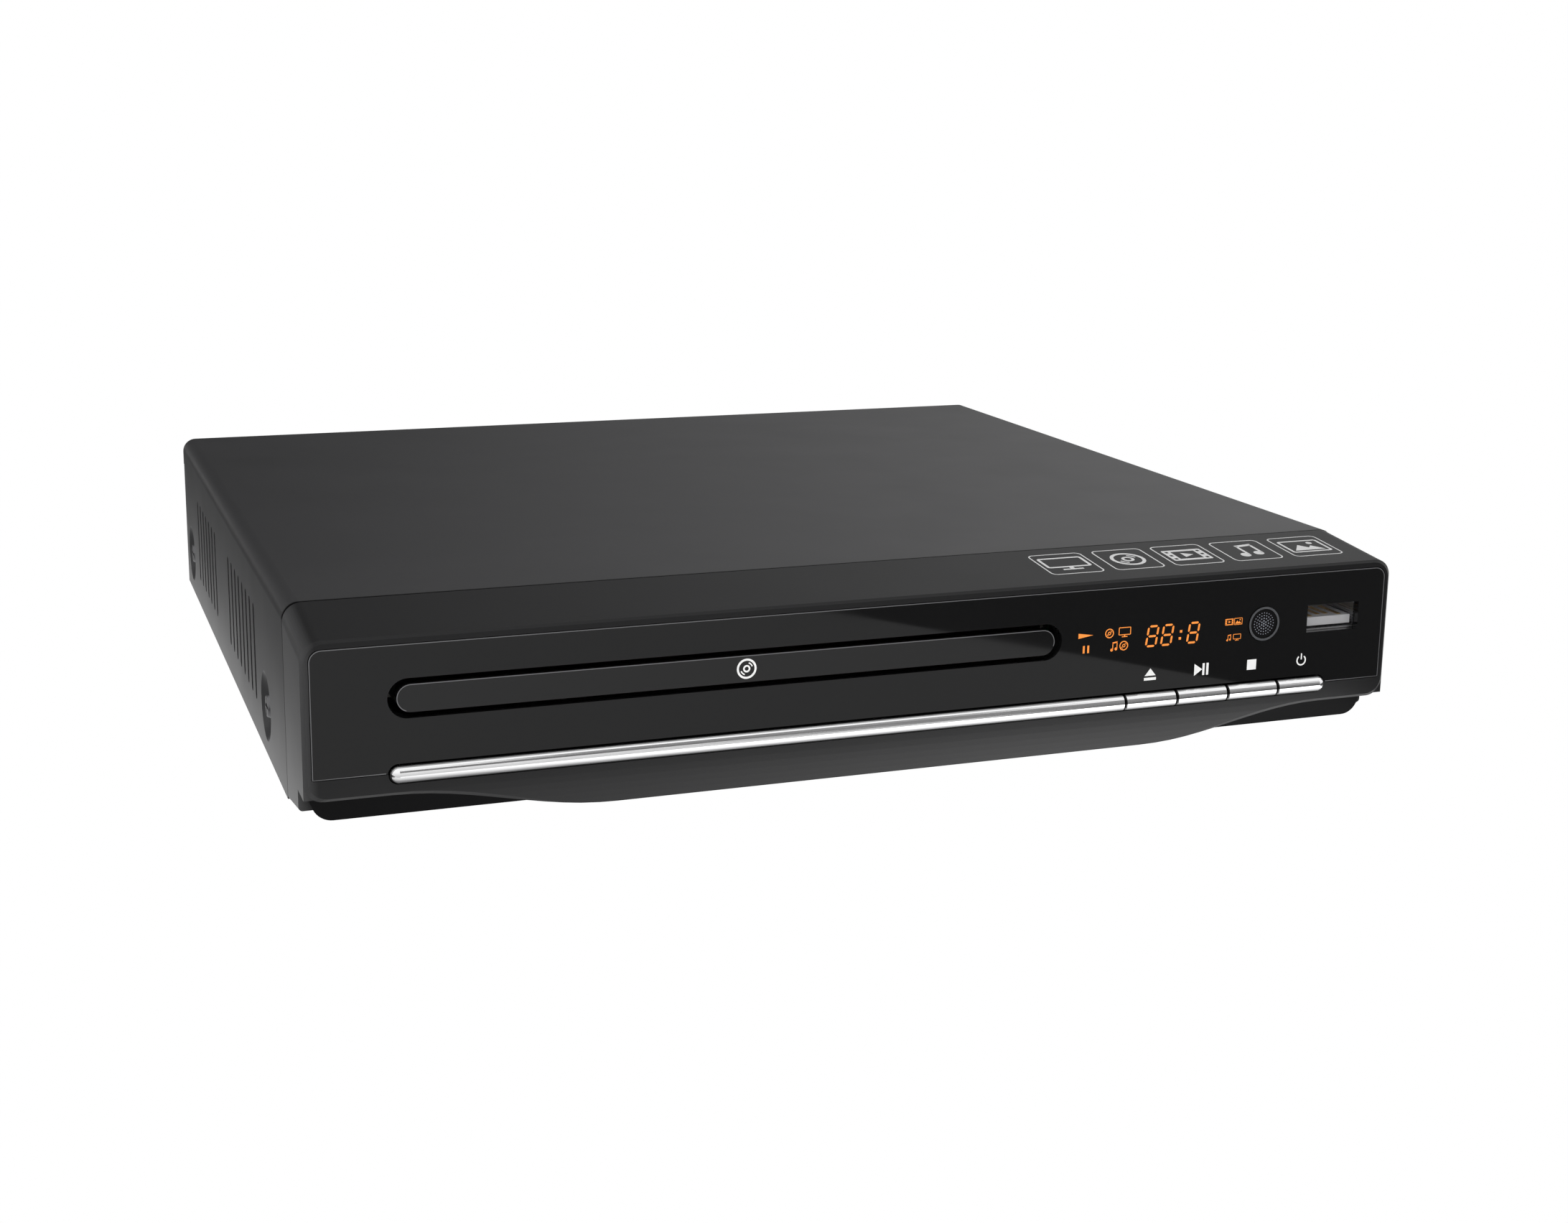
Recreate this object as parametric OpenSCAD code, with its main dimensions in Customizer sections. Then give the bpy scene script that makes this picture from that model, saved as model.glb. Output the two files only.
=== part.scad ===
// Compact disc player with a motor-driven tray.
// The origin is at the middle of the footprint, on the surface that the feet stand on.
// +X is the right-hand side seen from the front, +Y points to the rear and +Z points up.
// Heights of the front features are given above the underside of the base pan.

/* [Housing] */
// Width over the sheet-metal cover
body_w = 225; // [222:1:250]
// Depth of the cover, from the seam behind the bezel to the rear panel
cover_d = 185; // [182:1:220]
// Height of the cover
cover_h = 37.4; // [37:0.1:48]
// Thickness of the steel sheet
steel_t = 0.8; // [0.6:0.1:1]
// Outer bend radius of the cover's long edges
bend_r = 3.2; // [2:0.1:4]
// Air gap between pieces that slot together
fit_gap = 0.2; // [0.15:0.05:0.3]

/* [Feet] */
// Height of a foot below the base pan
foot_h = 5; // [3:0.5:8]
// Radius of a foot
foot_r = 7; // [5:0.5:10]
// Distance of the foot centres from the sides of the cover
foot_in_x = 24; // [18:1:40]
// Distance of the foot centres from the seam and from the rear
foot_in_y = 18; // [14:1:30]

/* [Front bezel] */
// Depth of the moulded bezel, from its face to the seam
bezel_d = 21.5; // [20:0.5:26]
// Wall thickness of the bezel
bezel_t = 2; // [1.6:0.1:2.4]
// Fall of the bezel's top band from the seam to the face
band_fall = 2.1; // [1:0.1:3]
// Corner radius of the face
face_r = 3.6; // [2.5:0.1:5]
// Height of the apron's lowest stretch
belly_z = 0.3; // [0.1:0.1:1]
// Height of the apron's raised ends
apron_z = 5.9; // [4:0.1:6.2]
// Distance from the middle where the apron starts to rise
belly_half_w = 55; // [30:1:70]
// Width of the rising stretch
rise_w = 42; // [30:1:50]
// Thickness of the front wall, from the face to its back
face_t = 3.2; // [2.8:0.1:3.6]
// Depth of the dark plinth behind the face
plinth_in = 5.6; // [5:0.1:7]
// Distance of the plinth's ends from the sides
plinth_side = 1.9; // [1:0.1:4]

/* [Lens] */
// Thickness of the smoked lens
lens_t = 1.6; // [1.2:0.1:1.8]
// Width of the bezel rim beside and above the lens
lens_rim = 1.4; // [1:0.1:2]
// Height of the lens's lower edge
lens_z = 10; // [9.5:0.1:10.5]

/* [Trim bar and buttons] */
// Height of the bar's middle line
bar_z = 9.9; // [9.5:0.1:10.3]
// Height of the bar
bar_h = 3.3; // [2.8:0.1:3.6]
// How far the bar stands out of the face
bar_proud = 1.5; // [1:0.1:2]
// Depth of the groove that holds the bar
bar_seat = 1.2; // [0.8:0.1:1.4]
// Distance of the bar's ends from the middle
bar_half_w = 97.4; // [96:0.2:100]
// Width of each button with one gap
button_pitch = 11.85; // [10:0.05:11.9]
// Air gap beside a button
button_gap = 0.3; // [0.25:0.05:0.4]
// Travel of a button
button_travel = 0.8; // [0.4:0.1:1]

/* [Tray] */
// Distance of the tray's middle line to the left of the housing's middle
tray_off = 30.8; // [29:0.2:33]
// Height of the tray slot's middle line
slot_z = 23.8; // [23.6:0.1:26]
// Height of the tray slot
slot_h = 7.4; // [7:0.1:8]
// Height of the door on the tray's front
door_h = 5.2; // [5:0.1:5.6]
// Thickness of the door
door_t = 2.6; // [2:0.1:3]
// Width of the tray
tray_w = 128.6; // [128:0.2:129.4]
// Length of the tray behind its door
tray_l = 166; // [160:1:172]
// Height of the tray
tray_h = 4.6; // [4.4:0.1:4.8]
// Travel of the tray
tray_travel = 130; // [100:1:132]
// Radius of the disc that the tray holds
disc_r = 60; // [59.5:0.1:60.2]
// Depth of the disc recess
well_deep = 1.9; // [1.6:0.1:2]
// Running gap between the tray and its guides
tray_gap = 0.3; // [0.25:0.05:0.5]
// Half width of the window over the pickup
window_half_w = 17.5; // [17:0.1:19]

/* [Loader gears] */
// Module of the rack and of the tray pinion
rack_m = 1; // [0.9:0.05:1]
// Teeth of the tray pinion
tray_pinion_n = 16; // [15:1:17]
// Module of the reduction gears
train_m = 0.8; // [0.7:0.05:0.8]
// Teeth of the large wheel under the tray pinion
wheel_n = 34; // [30:1:35]
// Teeth of the pinion on the belt pulley
pulley_pinion_n = 12; // [12:1:14]
// Play between meshing teeth
backlash = 0.16; // [0.12:0.02:0.24]
// Running radius of the belt on the large pulley
pulley_r = 10.8; // [9:0.1:11]
// Running radius of the belt on the motor pulley
motor_pulley_r = 3.6; // [3.2:0.1:4.2]
// Distance from the motor to the large pulley
belt_l = 26; // [24:0.5:28]
// Radius of the gear posts
post_r = 1.6; // [1.2:0.1:1.8]
// Radial running clearance on posts, pins and rails
run_gap = 0.05; // [0.03:0.01:0.08]

/* [Traverse] */
// Distance from the spindle back to the pivot of the traverse
pivot_l = 95; // [92:1:100]
// Angle by which the traverse hangs down when lowered
lower_deg = 4.6; // [4.4:0.1:5]
// Half width of the traverse deck
deck_half_w = 40; // [39.5:0.5:42]
// Thickness of the traverse deck
deck_t = 1.5; // [1.2:0.1:1.8]
// Radius of the turntable
table_r = 15; // [13:0.5:15.5]
// Distance from the spindle to the pickup lens at its inner stop
pickup_in = 24; // [23.5:0.5:26]
// Travel of the pickup
pickup_travel = 34; // [30:1:35]
// Radius of the guide rails
rail_r = 1.5; // [1.2:0.1:1.6]
// Travel of the cam slider
cam_travel = 16; // [15:0.5:17]

/* [Rear connectors] */
// Outer radius of an audio or video jack shell
jack_r = 4.15; // [4.1:0.05:4.2]
// Length of a jack shell outside the rear panel
jack_l = 8; // [7.5:0.1:9]
// Spacing of the jacks
jack_pitch = 14; // [13:0.5:15]

/* [Hidden] */
$fn = 48;
eps = 0.01;

// Places along Y: the face of the bezel, the seam and the rear panel
total_d = bar_proud + bezel_d + cover_d - steel_t + jack_l;
front_y = bar_proud - total_d / 2;
seam_y = front_y + bezel_d;
rear_y = seam_y + cover_d;
panel_y1 = rear_y - steel_t;
panel_y0 = panel_y1 - steel_t;
half_w = body_w / 2;

// Heights of the housing
base_z = foot_h;
pan_z = base_z + steel_t;
top_z = base_z + cover_h;
face_top_z = top_z - band_fall;
bar_zc = base_z + bar_z;
slot_zc = base_z + slot_z;
lens_z0 = base_z + lens_z;
lens_z1 = face_top_z - lens_rim;
lens_half_w = half_w - lens_rim;

// Tray, door and disc well
tray_x = -tray_off;
tray_z0 = slot_zc - tray_h / 2;
tray_z1 = slot_zc + tray_h / 2;
tray_y0 = front_y + door_t;
tray_y1 = tray_y0 + tray_l;
tray_hw = tray_w / 2;
well_r = disc_r + 0.4;
well_front = 5;
disc_y = tray_y0 + well_front + well_r;
well_z = tray_z1 - well_deep;
small_well_r = 40.5;
small_well_deep = 1;
floor_z = tray_z0 + 0.5;

// Rack and gear train
rack_x = tray_x + tray_hw - 1.7 * rack_m;
rack_z1 = tray_z0 + tray_h / 2;
tray_pinion_r = rack_m * tray_pinion_n / 2;
wheel_r = train_m * wheel_n / 2;
pulley_pinion_r = train_m * pulley_pinion_n / 2;
tray_gear_x = rack_x + tray_pinion_r;
tray_gear_y = seam_y + 9;
train_deg = 60;
train_l = wheel_r + pulley_pinion_r;
pulley_x = tray_gear_x + train_l * cos(train_deg);
pulley_y = tray_gear_y + train_l * sin(train_deg);
motor_y = pulley_y + belt_l;
gear_z = tray_z0 + 0.25;
gear_t = 2;
wheel_z = gear_z - 4.6;
wheel_t = 2.4;
belt_t = 1.3;
pulley_t = 3.2;
pulley_z = wheel_z - 1.2 - pulley_t;
motor_r = 10;
motor_h = 10;

// Loader frame
frame_z = pan_z + 4.2;
frame_t = 2;
frame_wall = 2.2;
guide_hw = tray_hw + tray_gap + 0.2;
frame_y0 = seam_y - 6;
frame_y1 = disc_y + pivot_l + 10;
frame_top_z = tray_z1 + tray_gap + 1.6;
frame_hw = guide_hw + frame_wall;
wing_x1 = pulley_x + pulley_r + 2.2;
well_hw = deck_half_w + 1.6;

// Traverse, drawn level and then lowered about its pivot
pivot_y = disc_y + pivot_l;
seat_z = well_z + 1.7;
deck_z1 = seat_z - 10.2;
deck_z0 = deck_z1 - deck_t;
pivot_z = deck_z1 - deck_t / 2;
pivot_r = 2;
pin_l = 5;
deck_front = 22;
table_t = 2;
hub_r = 7.4;
hub_h = 1.9;
shaft_r = 1;
spindle_r = 11.5;
spindle_h = 6.5;
deck_edge = 1.4;
sled_m = 0.8;
sled_n = 16;
sled_gear_x = deck_half_w - deck_edge - sled_m * (sled_n / 2 + 1);
sled_rack_x = sled_gear_x - sled_m * sled_n / 2;
rail_x = sled_rack_x - 5;
rail_z = deck_z1 + 2.6;
deck_window = rail_x - 6;
pickup_hw = sled_rack_x - 2.7;
sled_gear_y = 38;
fine_m = 0.5;
fine_n = 26;
sled_pinion_n = 12;
cam_pin_r = 1.2;
cam_pin_x = 22;
cam_y = -27.5;
cam_t = 2;
cam_clear = 0.35;
bay_y0 = disc_y + cam_y - 0.3;

// Clamp over the disc
puck_r = 15;
puck_z0 = seat_z + 1.35;
puck_h = 2.15;
neck_r = 11;
bridge_z = puck_z0 + puck_h + 0.7;
bridge_t = 1;
bridge_half_l = 17;

// Circuit boards
pcb_t = 1.6;
pcb_z = pan_z + 5.2;
front_pcb_y = front_y + 11;
front_pcb_x1 = half_w - 5;

// Front openings on the right-hand side
usb_x = half_w - 13.7;
usb_z = base_z + 23.9;
usb_w = 12.9;
usb_h = 5.8;
usb_mouth_w = 12.4;
usb_mouth_h = 5.9;
sensor_x = usb_x - 16.6;
sensor_z = base_z + 23.8;
sensor_r = 3.6;
slot_w = tray_w + 4.7;
display_x0 = tray_x + slot_w / 2 + 2.75;
display_x1 = sensor_x - 4.8;
front_pcb_x0 = display_x0 - 0.1;
display_z = base_z + 23.2;
display_h = 9;

// ---- Helpers ----

// Box given by its two corners
module slab(x0, x1, y0, y1, z0, z1) {
    translate([x0, y0, z0]) cube([x1 - x0, y1 - y0, z1 - z0]);
}

// Flat shape in X and Z, made thick from y0 to y1
module front_prism(y0, y1) {
    translate([0, y1, 0]) rotate([90, 0, 0]) linear_extrude(y1 - y0) children();
}

// Flat shape in Y and Z, made thick from x0 to x1
module side_prism(x0, x1) {
    translate([x0, 0, 0]) rotate([90, 0, 90]) linear_extrude(x1 - x0) children();
}

// Round bar along X
module rod_x(x0, x1, y, z, r) {
    translate([x0, y, z]) rotate([0, 90, 0]) cylinder(r = r, h = x1 - x0);
}

// Round bar along Y
module rod_y(x, y0, y1, z, r) {
    translate([x, y0, z]) rotate([-90, 0, 0]) cylinder(r = r, h = y1 - y0);
}

// Round bar along Z
module rod_z(x, y, z0, z1, r) {
    translate([x, y, z0]) cylinder(r = r, h = z1 - z0);
}

// Rectangle from corner to corner with round corners
module round_rect(x0, x1, y0, y1, r) {
    translate([x0 + r, y0]) square([x1 - x0 - 2 * r, y1 - y0]);
    translate([x0, y0 + r]) square([x1 - x0, y1 - y0 - 2 * r]);
    for (x = [x0 + r, x1 - r], y = [y0 + r, y1 - r])
        translate([x, y]) circle(r);
}

// Slot shape with round ends, centred
module stadium(l, h) {
    square([l - h, h], center = true);
    for (s = [-1, 1]) translate([s * (l - h) / 2, 0]) circle(h / 2);
}

// Puts a level traverse piece at rest: lowered about the pivot
module lowered() {
    translate([tray_x, pivot_y, pivot_z]) rotate([lower_deg, 0, 0])
        translate([0, disc_y - pivot_y, -pivot_z]) children();
}

// ---- Gear teeth: 25 degree pressure angle, stub height ----

press_deg = 25;
add_k = 0.8;
ded_k = 1.05;
function inv_deg(a) = tan(a) * 180 / PI - a;
function half_deg(m, n) = (PI * m / 2 - backlash / 2) / (m * n) * 180 / PI;
function flank_deg(m, n, r) =
    half_deg(m, n) + inv_deg(press_deg) - inv_deg(acos(min(1, m * n / 2 * cos(press_deg) / r)));
function polar(r, a) = [r * cos(a), r * sin(a)];
function flank_r(m, n) =
    let (lo = max(m * n / 2 * cos(press_deg), m * (n / 2 - ded_k)), hi = m * (n / 2 + add_k))
    [for (k = [0:3]) lo + (hi - lo) * k / 3];
function tooth(m, n) =
    let (rs = flank_r(m, n), rf = m * (n / 2 - ded_k))
    concat([polar(rf, -flank_deg(m, n, rs[0]))],
        [for (r = rs) polar(r, -flank_deg(m, n, r))],
        [for (k = [3:-1:0]) polar(rs[k], flank_deg(m, n, rs[k]))],
        [polar(rf, flank_deg(m, n, rs[0]))]);
function turned(p, a) = [p[0] * cos(a) - p[1] * sin(a), p[0] * sin(a) + p[1] * cos(a)];

// Toothed wheel whose first tooth points at the given angle
module toothed(m, n, h, turn = 0) {
    pts = tooth(m, n);
    linear_extrude(h)
        polygon([for (i = [0:n - 1], p = pts) turned(p, turn + i * 360 / n)]);
}

// Rack along Y from its pitch line, teeth towards +X, spaces at whole pitches
module rack(m, n0, n1, h, back) {
    half = PI * m / 4 - backlash / 4;
    tip = half - add_k * m * tan(press_deg);
    foot = half + ded_k * m * tan(press_deg);
    linear_extrude(h) {
        translate([-back, n0 * PI * m]) square([back - ded_k * m, (n1 - n0) * PI * m]);
        for (i = [n0:n1 - 1])
            translate([0, (i + 0.5) * PI * m])
                polygon([[-ded_k * m - eps, -foot], [add_k * m, -tip],
                    [add_k * m, tip], [-ded_k * m - eps, foot]]);
    }
}

// ---- Housing ----

vent_pitch = 6.3;
vent_w = 2.2;
vent_z0 = base_z + 7.1;
vent_z1 = base_z + 27.2;
vent_groups = [[43.4, 8], [114.3, 7]];
dish_y = [28.2, 171.5];
dish_z = base_z + 9.9;
dish_r = 7;
dish_floor_r = 4.6;
dish_deep = 1.4;
screw_r = 1.5;
screw_l = 6;
screw_gap = 0.5;
lip_h = 6.4;
cover_gap = 0.15;
rear_screw_x = [-96, -34, 34, 96];
rear_screw_z = top_z - 3.6;
pan_half_w = half_w - dish_deep - steel_t;
pan_wall_h = 18;
// Middle of the room that other pieces leave to a side screw
screw_mid = half_w - dish_deep - screw_gap;

// Section of the cover: top and two sides with bent long edges
module cover_section(inset) {
    r = bend_r - inset;
    round_rect(-half_w + inset, half_w - inset, top_z - 3 * bend_r, top_z - inset, r);
    translate([-half_w + inset, base_z - (inset > 0 ? 1 : 0)])
        square([body_w - 2 * inset, cover_h - 2 * bend_r]);
}

// Conical dish along X that holds a side screw
module side_dish(grow, deep, y) {
    for (s = [-1, 1]) translate([s * half_w, y, dish_z]) rotate([0, -90 * s, 0])
        cylinder(r1 = dish_r + grow, r2 = dish_floor_r + grow, h = deep);
}

module top_cover() {
    color("#3b3b3d") difference() {
        union() {
            difference() {
                front_prism(seam_y + cover_gap, rear_y) cover_section(0);
                front_prism(seam_y - 1, panel_y1) cover_section(steel_t);
                slab(-half_w + bend_r, half_w - bend_r, panel_y1 - eps, rear_y + 1,
                    base_z - 1, top_z - lip_h);
                for (s = [-1, 1])
                    slab(s * half_w - bend_r, s * half_w + bend_r, panel_y1 - eps, rear_y + 1,
                        base_z - 1, top_z - lip_h);
            }
            for (y = dish_y) intersection() {
                side_dish(steel_t, dish_deep + steel_t, seam_y + y);
                slab(-half_w, half_w, seam_y, rear_y, base_z, top_z);
            }
        }
        for (y = dish_y) side_dish(0, dish_deep, seam_y + y);
        for (y = dish_y, s = [-1, 1])
            rod_x(s * half_w - 4, s * half_w + 4, seam_y + y, dish_z, screw_r + 0.2);
        for (g = vent_groups, i = [0:g[1] - 1])
            side_prism(-half_w - 1, half_w + 1)
                translate([seam_y + g[0] + i * vent_pitch, (vent_z0 + vent_z1) / 2]) rotate(90)
                    stadium(vent_z1 - vent_z0, vent_w);
        for (x = rear_screw_x)
            rod_y(x, panel_y1 - 1, rear_y + 1, rear_screw_z, screw_r + 0.2);
    }
}

foot_x = half_w - foot_in_x;
foot_y = [seam_y + foot_in_y, rear_y - foot_in_y];
leg_x = 58;
leg_y = [frame_y0 + 16, frame_y1 - 8];

module base_pan() {
    color("#8d9092") difference() {
        union() {
            slab(-pan_half_w, pan_half_w, seam_y + cover_gap, panel_y0, base_z, pan_z);
            for (s = [-1, 1])
                slab(s > 0 ? pan_half_w - steel_t : -pan_half_w,
                    s > 0 ? pan_half_w : steel_t - pan_half_w,
                    seam_y + cover_gap, panel_y0, pan_z - eps, pan_z + pan_wall_h);
            for (p = post_spots) rod_z(p[0], p[1], pan_z - eps, pcb_z, 2.6);
        }
        for (y = dish_y, s = [-1, 1])
            rod_x(s * pan_half_w - 2, s * pan_half_w + 2, seam_y + y, dish_z, screw_r + 0.1);
        for (i = [0:6]) slab(60 + 5 * i, 62.4 + 5 * i, 34, 74, base_z - 1, pan_z + 1);
        for (s = [-1, 1], y = leg_y) rod_z(tray_x + s * leg_x, y, base_z - 1, pan_z + 1, screw_r);
    }
}

jack_x0 = -22;
jack_seat = 4;
jack_collar_r = jack_r + 0.4;
jack_tube_r = jack_r - 0.5;
jack_room = 5.8;
jack_zs = [pcb_z + pcb_t + jack_room, top_z - lip_h - jack_room];
jack_spots = [for (i = [0:2], z = jack_zs) [jack_x0 + i * jack_pitch, z],
    [jack_x0 - jack_pitch - 3, jack_zs[0]]];
hdmi_x = -70;
hdmi_z = pcb_z + pcb_t + 3.2;
hdmi_w = 15;
hdmi_h = 5.6;
inlet_x = half_w - 24.5;
inlet_z = pcb_z + pcb_t + 8.5;
inlet_w = 24;
inlet_h = 15;
socket_w = 16.2;
socket_h = 8.6;

module rear_panel() {
    color("#2a2a2c") difference() {
        union() {
            front_prism(panel_y0, panel_y1) round_rect(1 - half_w, half_w - 1, base_z,
                top_z - steel_t - cover_gap, bend_r - steel_t);
            slab(4 - half_w, half_w - 4, panel_y0 - 8, panel_y0 + eps,
                top_z - 2 * steel_t - cover_gap, top_z - steel_t - cover_gap);
        }
        for (p = jack_spots) rod_y(p[0], panel_y0 - 1, rear_y, p[1], jack_collar_r + 0.25);
        front_prism(panel_y0 - 1, rear_y) translate([hdmi_x, hdmi_z])
            square([hdmi_w + 0.6, hdmi_h + 0.6], center = true);
        front_prism(panel_y0 - 1, rear_y) translate([inlet_x, inlet_z])
            square([inlet_w + 0.4, inlet_h + 0.4], center = true);
        for (x = rear_screw_x)
            rod_y(x, panel_y0 - 1, rear_y + 1, rear_screw_z, screw_r + 0.1);
    }
}

// ---- Front ----

door_w = slot_w - 3.2;
wall_y = front_y + face_t;
plinth_y = front_y + plinth_in;
plinth_r = 4;
plinth_top_z = base_z + apron_z + 0.4;
shelf_top_z = plinth_top_z + 1;
groove_h = bar_h + 2 * fit_gap;
button_seat = 0.3;
groove_d = max(bar_seat, button_seat + button_travel + 0.1);
groove_half_w = bar_half_w + fit_gap;
chin_in = 1.2;
chin_rise = 3.3;
chamfer = 0.7;
base_r = 0.8;

// Lower edge of the apron at a distance from the middle
function apron_edge(x) =
    let (t = max(0, min(1, (abs(x) - belly_half_w) / rise_w)))
    base_z + belly_z + (apron_z - belly_z) * (1 - cos(180 * t)) / 2;

function arc_pts(cx, cy, r, a0, a1, n) =
    [for (i = [0:n]) [cx + r * cos(a0 + (a1 - a0) * i / n), cy + r * sin(a0 + (a1 - a0) * i / n)]];

// Outline of the face: round corners and an apron with an S-shaped lower edge
module face_outline() {
    x = half_w - face_r;
    polygon(concat(
        arc_pts(x, face_top_z - face_r, face_r, 0, 90, 8),
        arc_pts(-x, face_top_z - face_r, face_r, 90, 180, 8),
        arc_pts(-x, base_z + apron_z + face_r, face_r, 180, 270, 8),
        [for (i = [0:12]) let (u = -(belly_half_w + rise_w) + rise_w * i / 12) [u, apron_edge(u)]],
        [for (i = [0:12]) let (u = belly_half_w + rise_w * i / 12) [u, apron_edge(u)]],
        arc_pts(x, base_z + apron_z + face_r, face_r, 270, 360, 8)));
}

// Side view of the face: upright, with a chin that curves back below the bar
module face_profile() {
    z0 = base_z - 1;
    z1 = bar_zc - bar_h;
    polygon(concat([[wall_y + 1, top_z], [front_y, top_z]],
        [for (i = [0:6]) [front_y + chin_in * pow(i / 6, 2), z1 + (z0 - z1) * i / 6]],
        [[wall_y + 1, z0]]));
}

module bar_groove(grow) {
    translate([0, bar_zc])
        stadium(2 * (groove_half_w + grow), groove_h + 2 * grow);
}

module lens_outline(inset) {
    difference() {
        union() {
            round_rect(-lens_half_w + inset, lens_half_w - inset, lens_z1 - 8, lens_z1 - inset, 2.2);
            round_rect(-lens_half_w + inset, lens_half_w - inset, lens_z0 + inset, lens_z1 - 4, 0.4);
        }
        bar_groove(0);
    }
}

module slot_outline() {
    translate([tray_x, slot_zc]) stadium(slot_w, slot_h);
}

// Thin slice of the bezel's body: large corners above, small ones below
module rim_slab(y, z0, z1, inset) {
    x = half_w - inset;
    front_prism(y, y + 0.1) {
        round_rect(-x, x, (z0 + z1) / 2, z1 - inset, face_r - inset / 2);
        round_rect(-x, x, z0 + inset, z1 - 2 * face_r, base_r);
    }
}

first_gap_x = bar_half_w - 4 * button_pitch;
function button_x0(i) = first_gap_x + i * button_pitch + button_gap / 2;
function button_x1(i) = first_gap_x + (i + 1) * button_pitch - (i < 3 ? button_gap / 2 : 0);
function button_xc(i) = first_gap_x + (i + 0.5) * button_pitch;
stem_w = 7.6;
stem_h = 1.8;

module front_bezel() {
    color("#2b2b2d") difference() {
        union() {
            difference() {
                hull() {
                    rim_slab(front_y + chamfer, base_z + chin_rise, face_top_z, 0);
                    rim_slab(seam_y - cover_gap - 0.1, base_z, top_z, 0);
                }
                slab(-body_w, body_w, front_y - 1, plinth_y + bezel_t + 0.1, 0, plinth_top_z + 0.1);
            }
            intersection() {
                union() {
                    front_prism(front_y + chamfer, wall_y) face_outline();
                    translate([0, front_y + chamfer, slot_zc]) rotate([90, 0, 0])
                        linear_extrude(chamfer, scale = [1 - chamfer / half_w, 1 - 2 * chamfer / cover_h])
                            translate([0, -slot_zc]) face_outline();
                }
                side_prism(-body_w, body_w) face_profile();
            }
        }
        difference() {
            hull() {
                rim_slab(wall_y, base_z + chin_rise, face_top_z, bezel_t);
                rim_slab(seam_y, base_z, top_z, bezel_t);
            }
            slab(-body_w, body_w, wall_y - 1, plinth_y + 2 * bezel_t, 0, shelf_top_z);
        }
        front_prism(front_y - 1, front_y + lens_t) lens_outline(0);
        front_prism(front_y - 1, front_y + groove_d) bar_groove(0);
        front_prism(front_y - 1, wall_y + 1) slot_outline();
        for (i = [0:3]) front_prism(front_y, wall_y + 1) translate([button_xc(i), bar_zc])
            square([stem_w + 0.6, stem_h + 0.6], center = true);
        slab(display_x0 - 0.2, display_x1 + 0.2, front_y, wall_y + 1,
            display_z - display_h / 2 - 0.2, display_z + display_h / 2 + 0.2);
        rod_y(sensor_x, front_y, wall_y + 1, sensor_z, sensor_r - 0.8);
        front_prism(front_y, wall_y + 1) translate([usb_x, usb_z])
            square([usb_w + 0.4, usb_h + 0.4], center = true);
    }
}

module front_plinth() {
    x = half_w - plinth_side;
    color("#0d0d0e") difference() {
        front_prism(plinth_y, plinth_y + bezel_t)
            round_rect(-x, x, base_z + 0.6, plinth_top_z + plinth_r, plinth_r);
        slab(-body_w, body_w, plinth_y - 1, plinth_y + bezel_t + 1, plinth_top_z, top_z);
    }
}

module front_lens() {
    color("#1b1b1c") front_prism(front_y, front_y + lens_t) difference() {
        lens_outline(0.1);
        bar_groove(0.1);
        slot_outline();
        translate([sensor_x, sensor_z]) circle(sensor_r + 0.1);
        translate([usb_x, usb_z]) square([usb_mouth_w, usb_mouth_h], center = true);
    }
}

module sensor_window() {
    color("#26282c") union() {
        rod_y(sensor_x, front_y, front_y + lens_t, sensor_z, sensor_r - 0.5);
        difference() {
            rod_y(sensor_x, front_y - 0.2, front_y + lens_t, sensor_z, sensor_r);
            rod_y(sensor_x, front_y - 1, front_y + lens_t + 1, sensor_z, sensor_r - 0.5 - eps);
        }
    }
}

// Half section of the bar as [height, depth towards the front]
crown = [for (i = [0:8]) [bar_h / 2 * cos(90 * i / 8), bar_proud * sin(90 * i / 8)]];

module bar_piece(x0, x1, round0, round1, seat) {
    a = round0 ? x0 + bar_h / 2 : x0;
    b = round1 ? x1 - bar_h / 2 : x1;
    translate([0, front_y, bar_zc]) {
        side_prism(a, b) polygon(concat([[seat, bar_h / 2]],
            [for (p = crown) [-p[1], p[0]]], [for (i = [8:-1:0]) [-crown[i][1], -crown[i][0]]],
            [[seat, -bar_h / 2]]));
        if (round0) translate([a, 0, 0]) bar_end(seat);
        if (round1) translate([b, 0, 0]) bar_end(seat);
    }
}

module bar_end(seat) {
    rotate([90, 0, 0]) rotate_extrude() polygon(concat([[0, -seat], [bar_h / 2, -seat]], crown));
}

module trim_bar() {
    color("#c9cacc") bar_piece(-bar_half_w, first_gap_x - button_gap / 2, true, false, groove_d);
}

// Button i of the row: cap, stem through the bezel and a stop behind the wall
module button(i) {
    color("#c9cacc") union() {
        bar_piece(button_x0(i), button_x1(i), false, i == 3, button_seat);
        slab(button_xc(i) - stem_w / 2, button_xc(i) + stem_w / 2,
            front_y + button_seat - eps, wall_y + 0.9, bar_zc - stem_h / 2, bar_zc + stem_h / 2);
        slab(button_xc(i) - stem_w / 2, button_xc(i) + stem_w / 2,
            wall_y + 0.2, wall_y + 0.9, bar_zc - stem_h / 2, bar_zc + stem_h / 2 + 2.2);
    }
}

module eject_button() { button(0); }
module play_button() { button(1); }
module stop_button() { button(2); }
module power_button() { button(3); }

module front_pcb() {
    color("#2f5a3a") difference() {
        slab(front_pcb_x0, front_pcb_x1, front_pcb_y, front_pcb_y + pcb_t,
            base_z + 8, base_z + 33);
        slab(usb_x - usb_w / 2 - 0.2, usb_x + usb_w / 2 + 0.2, front_pcb_y - 1, front_pcb_y + 3,
            usb_z - usb_h / 2 - 0.2, usb_z + usb_h / 2 + 0.2);
    }
}

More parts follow.
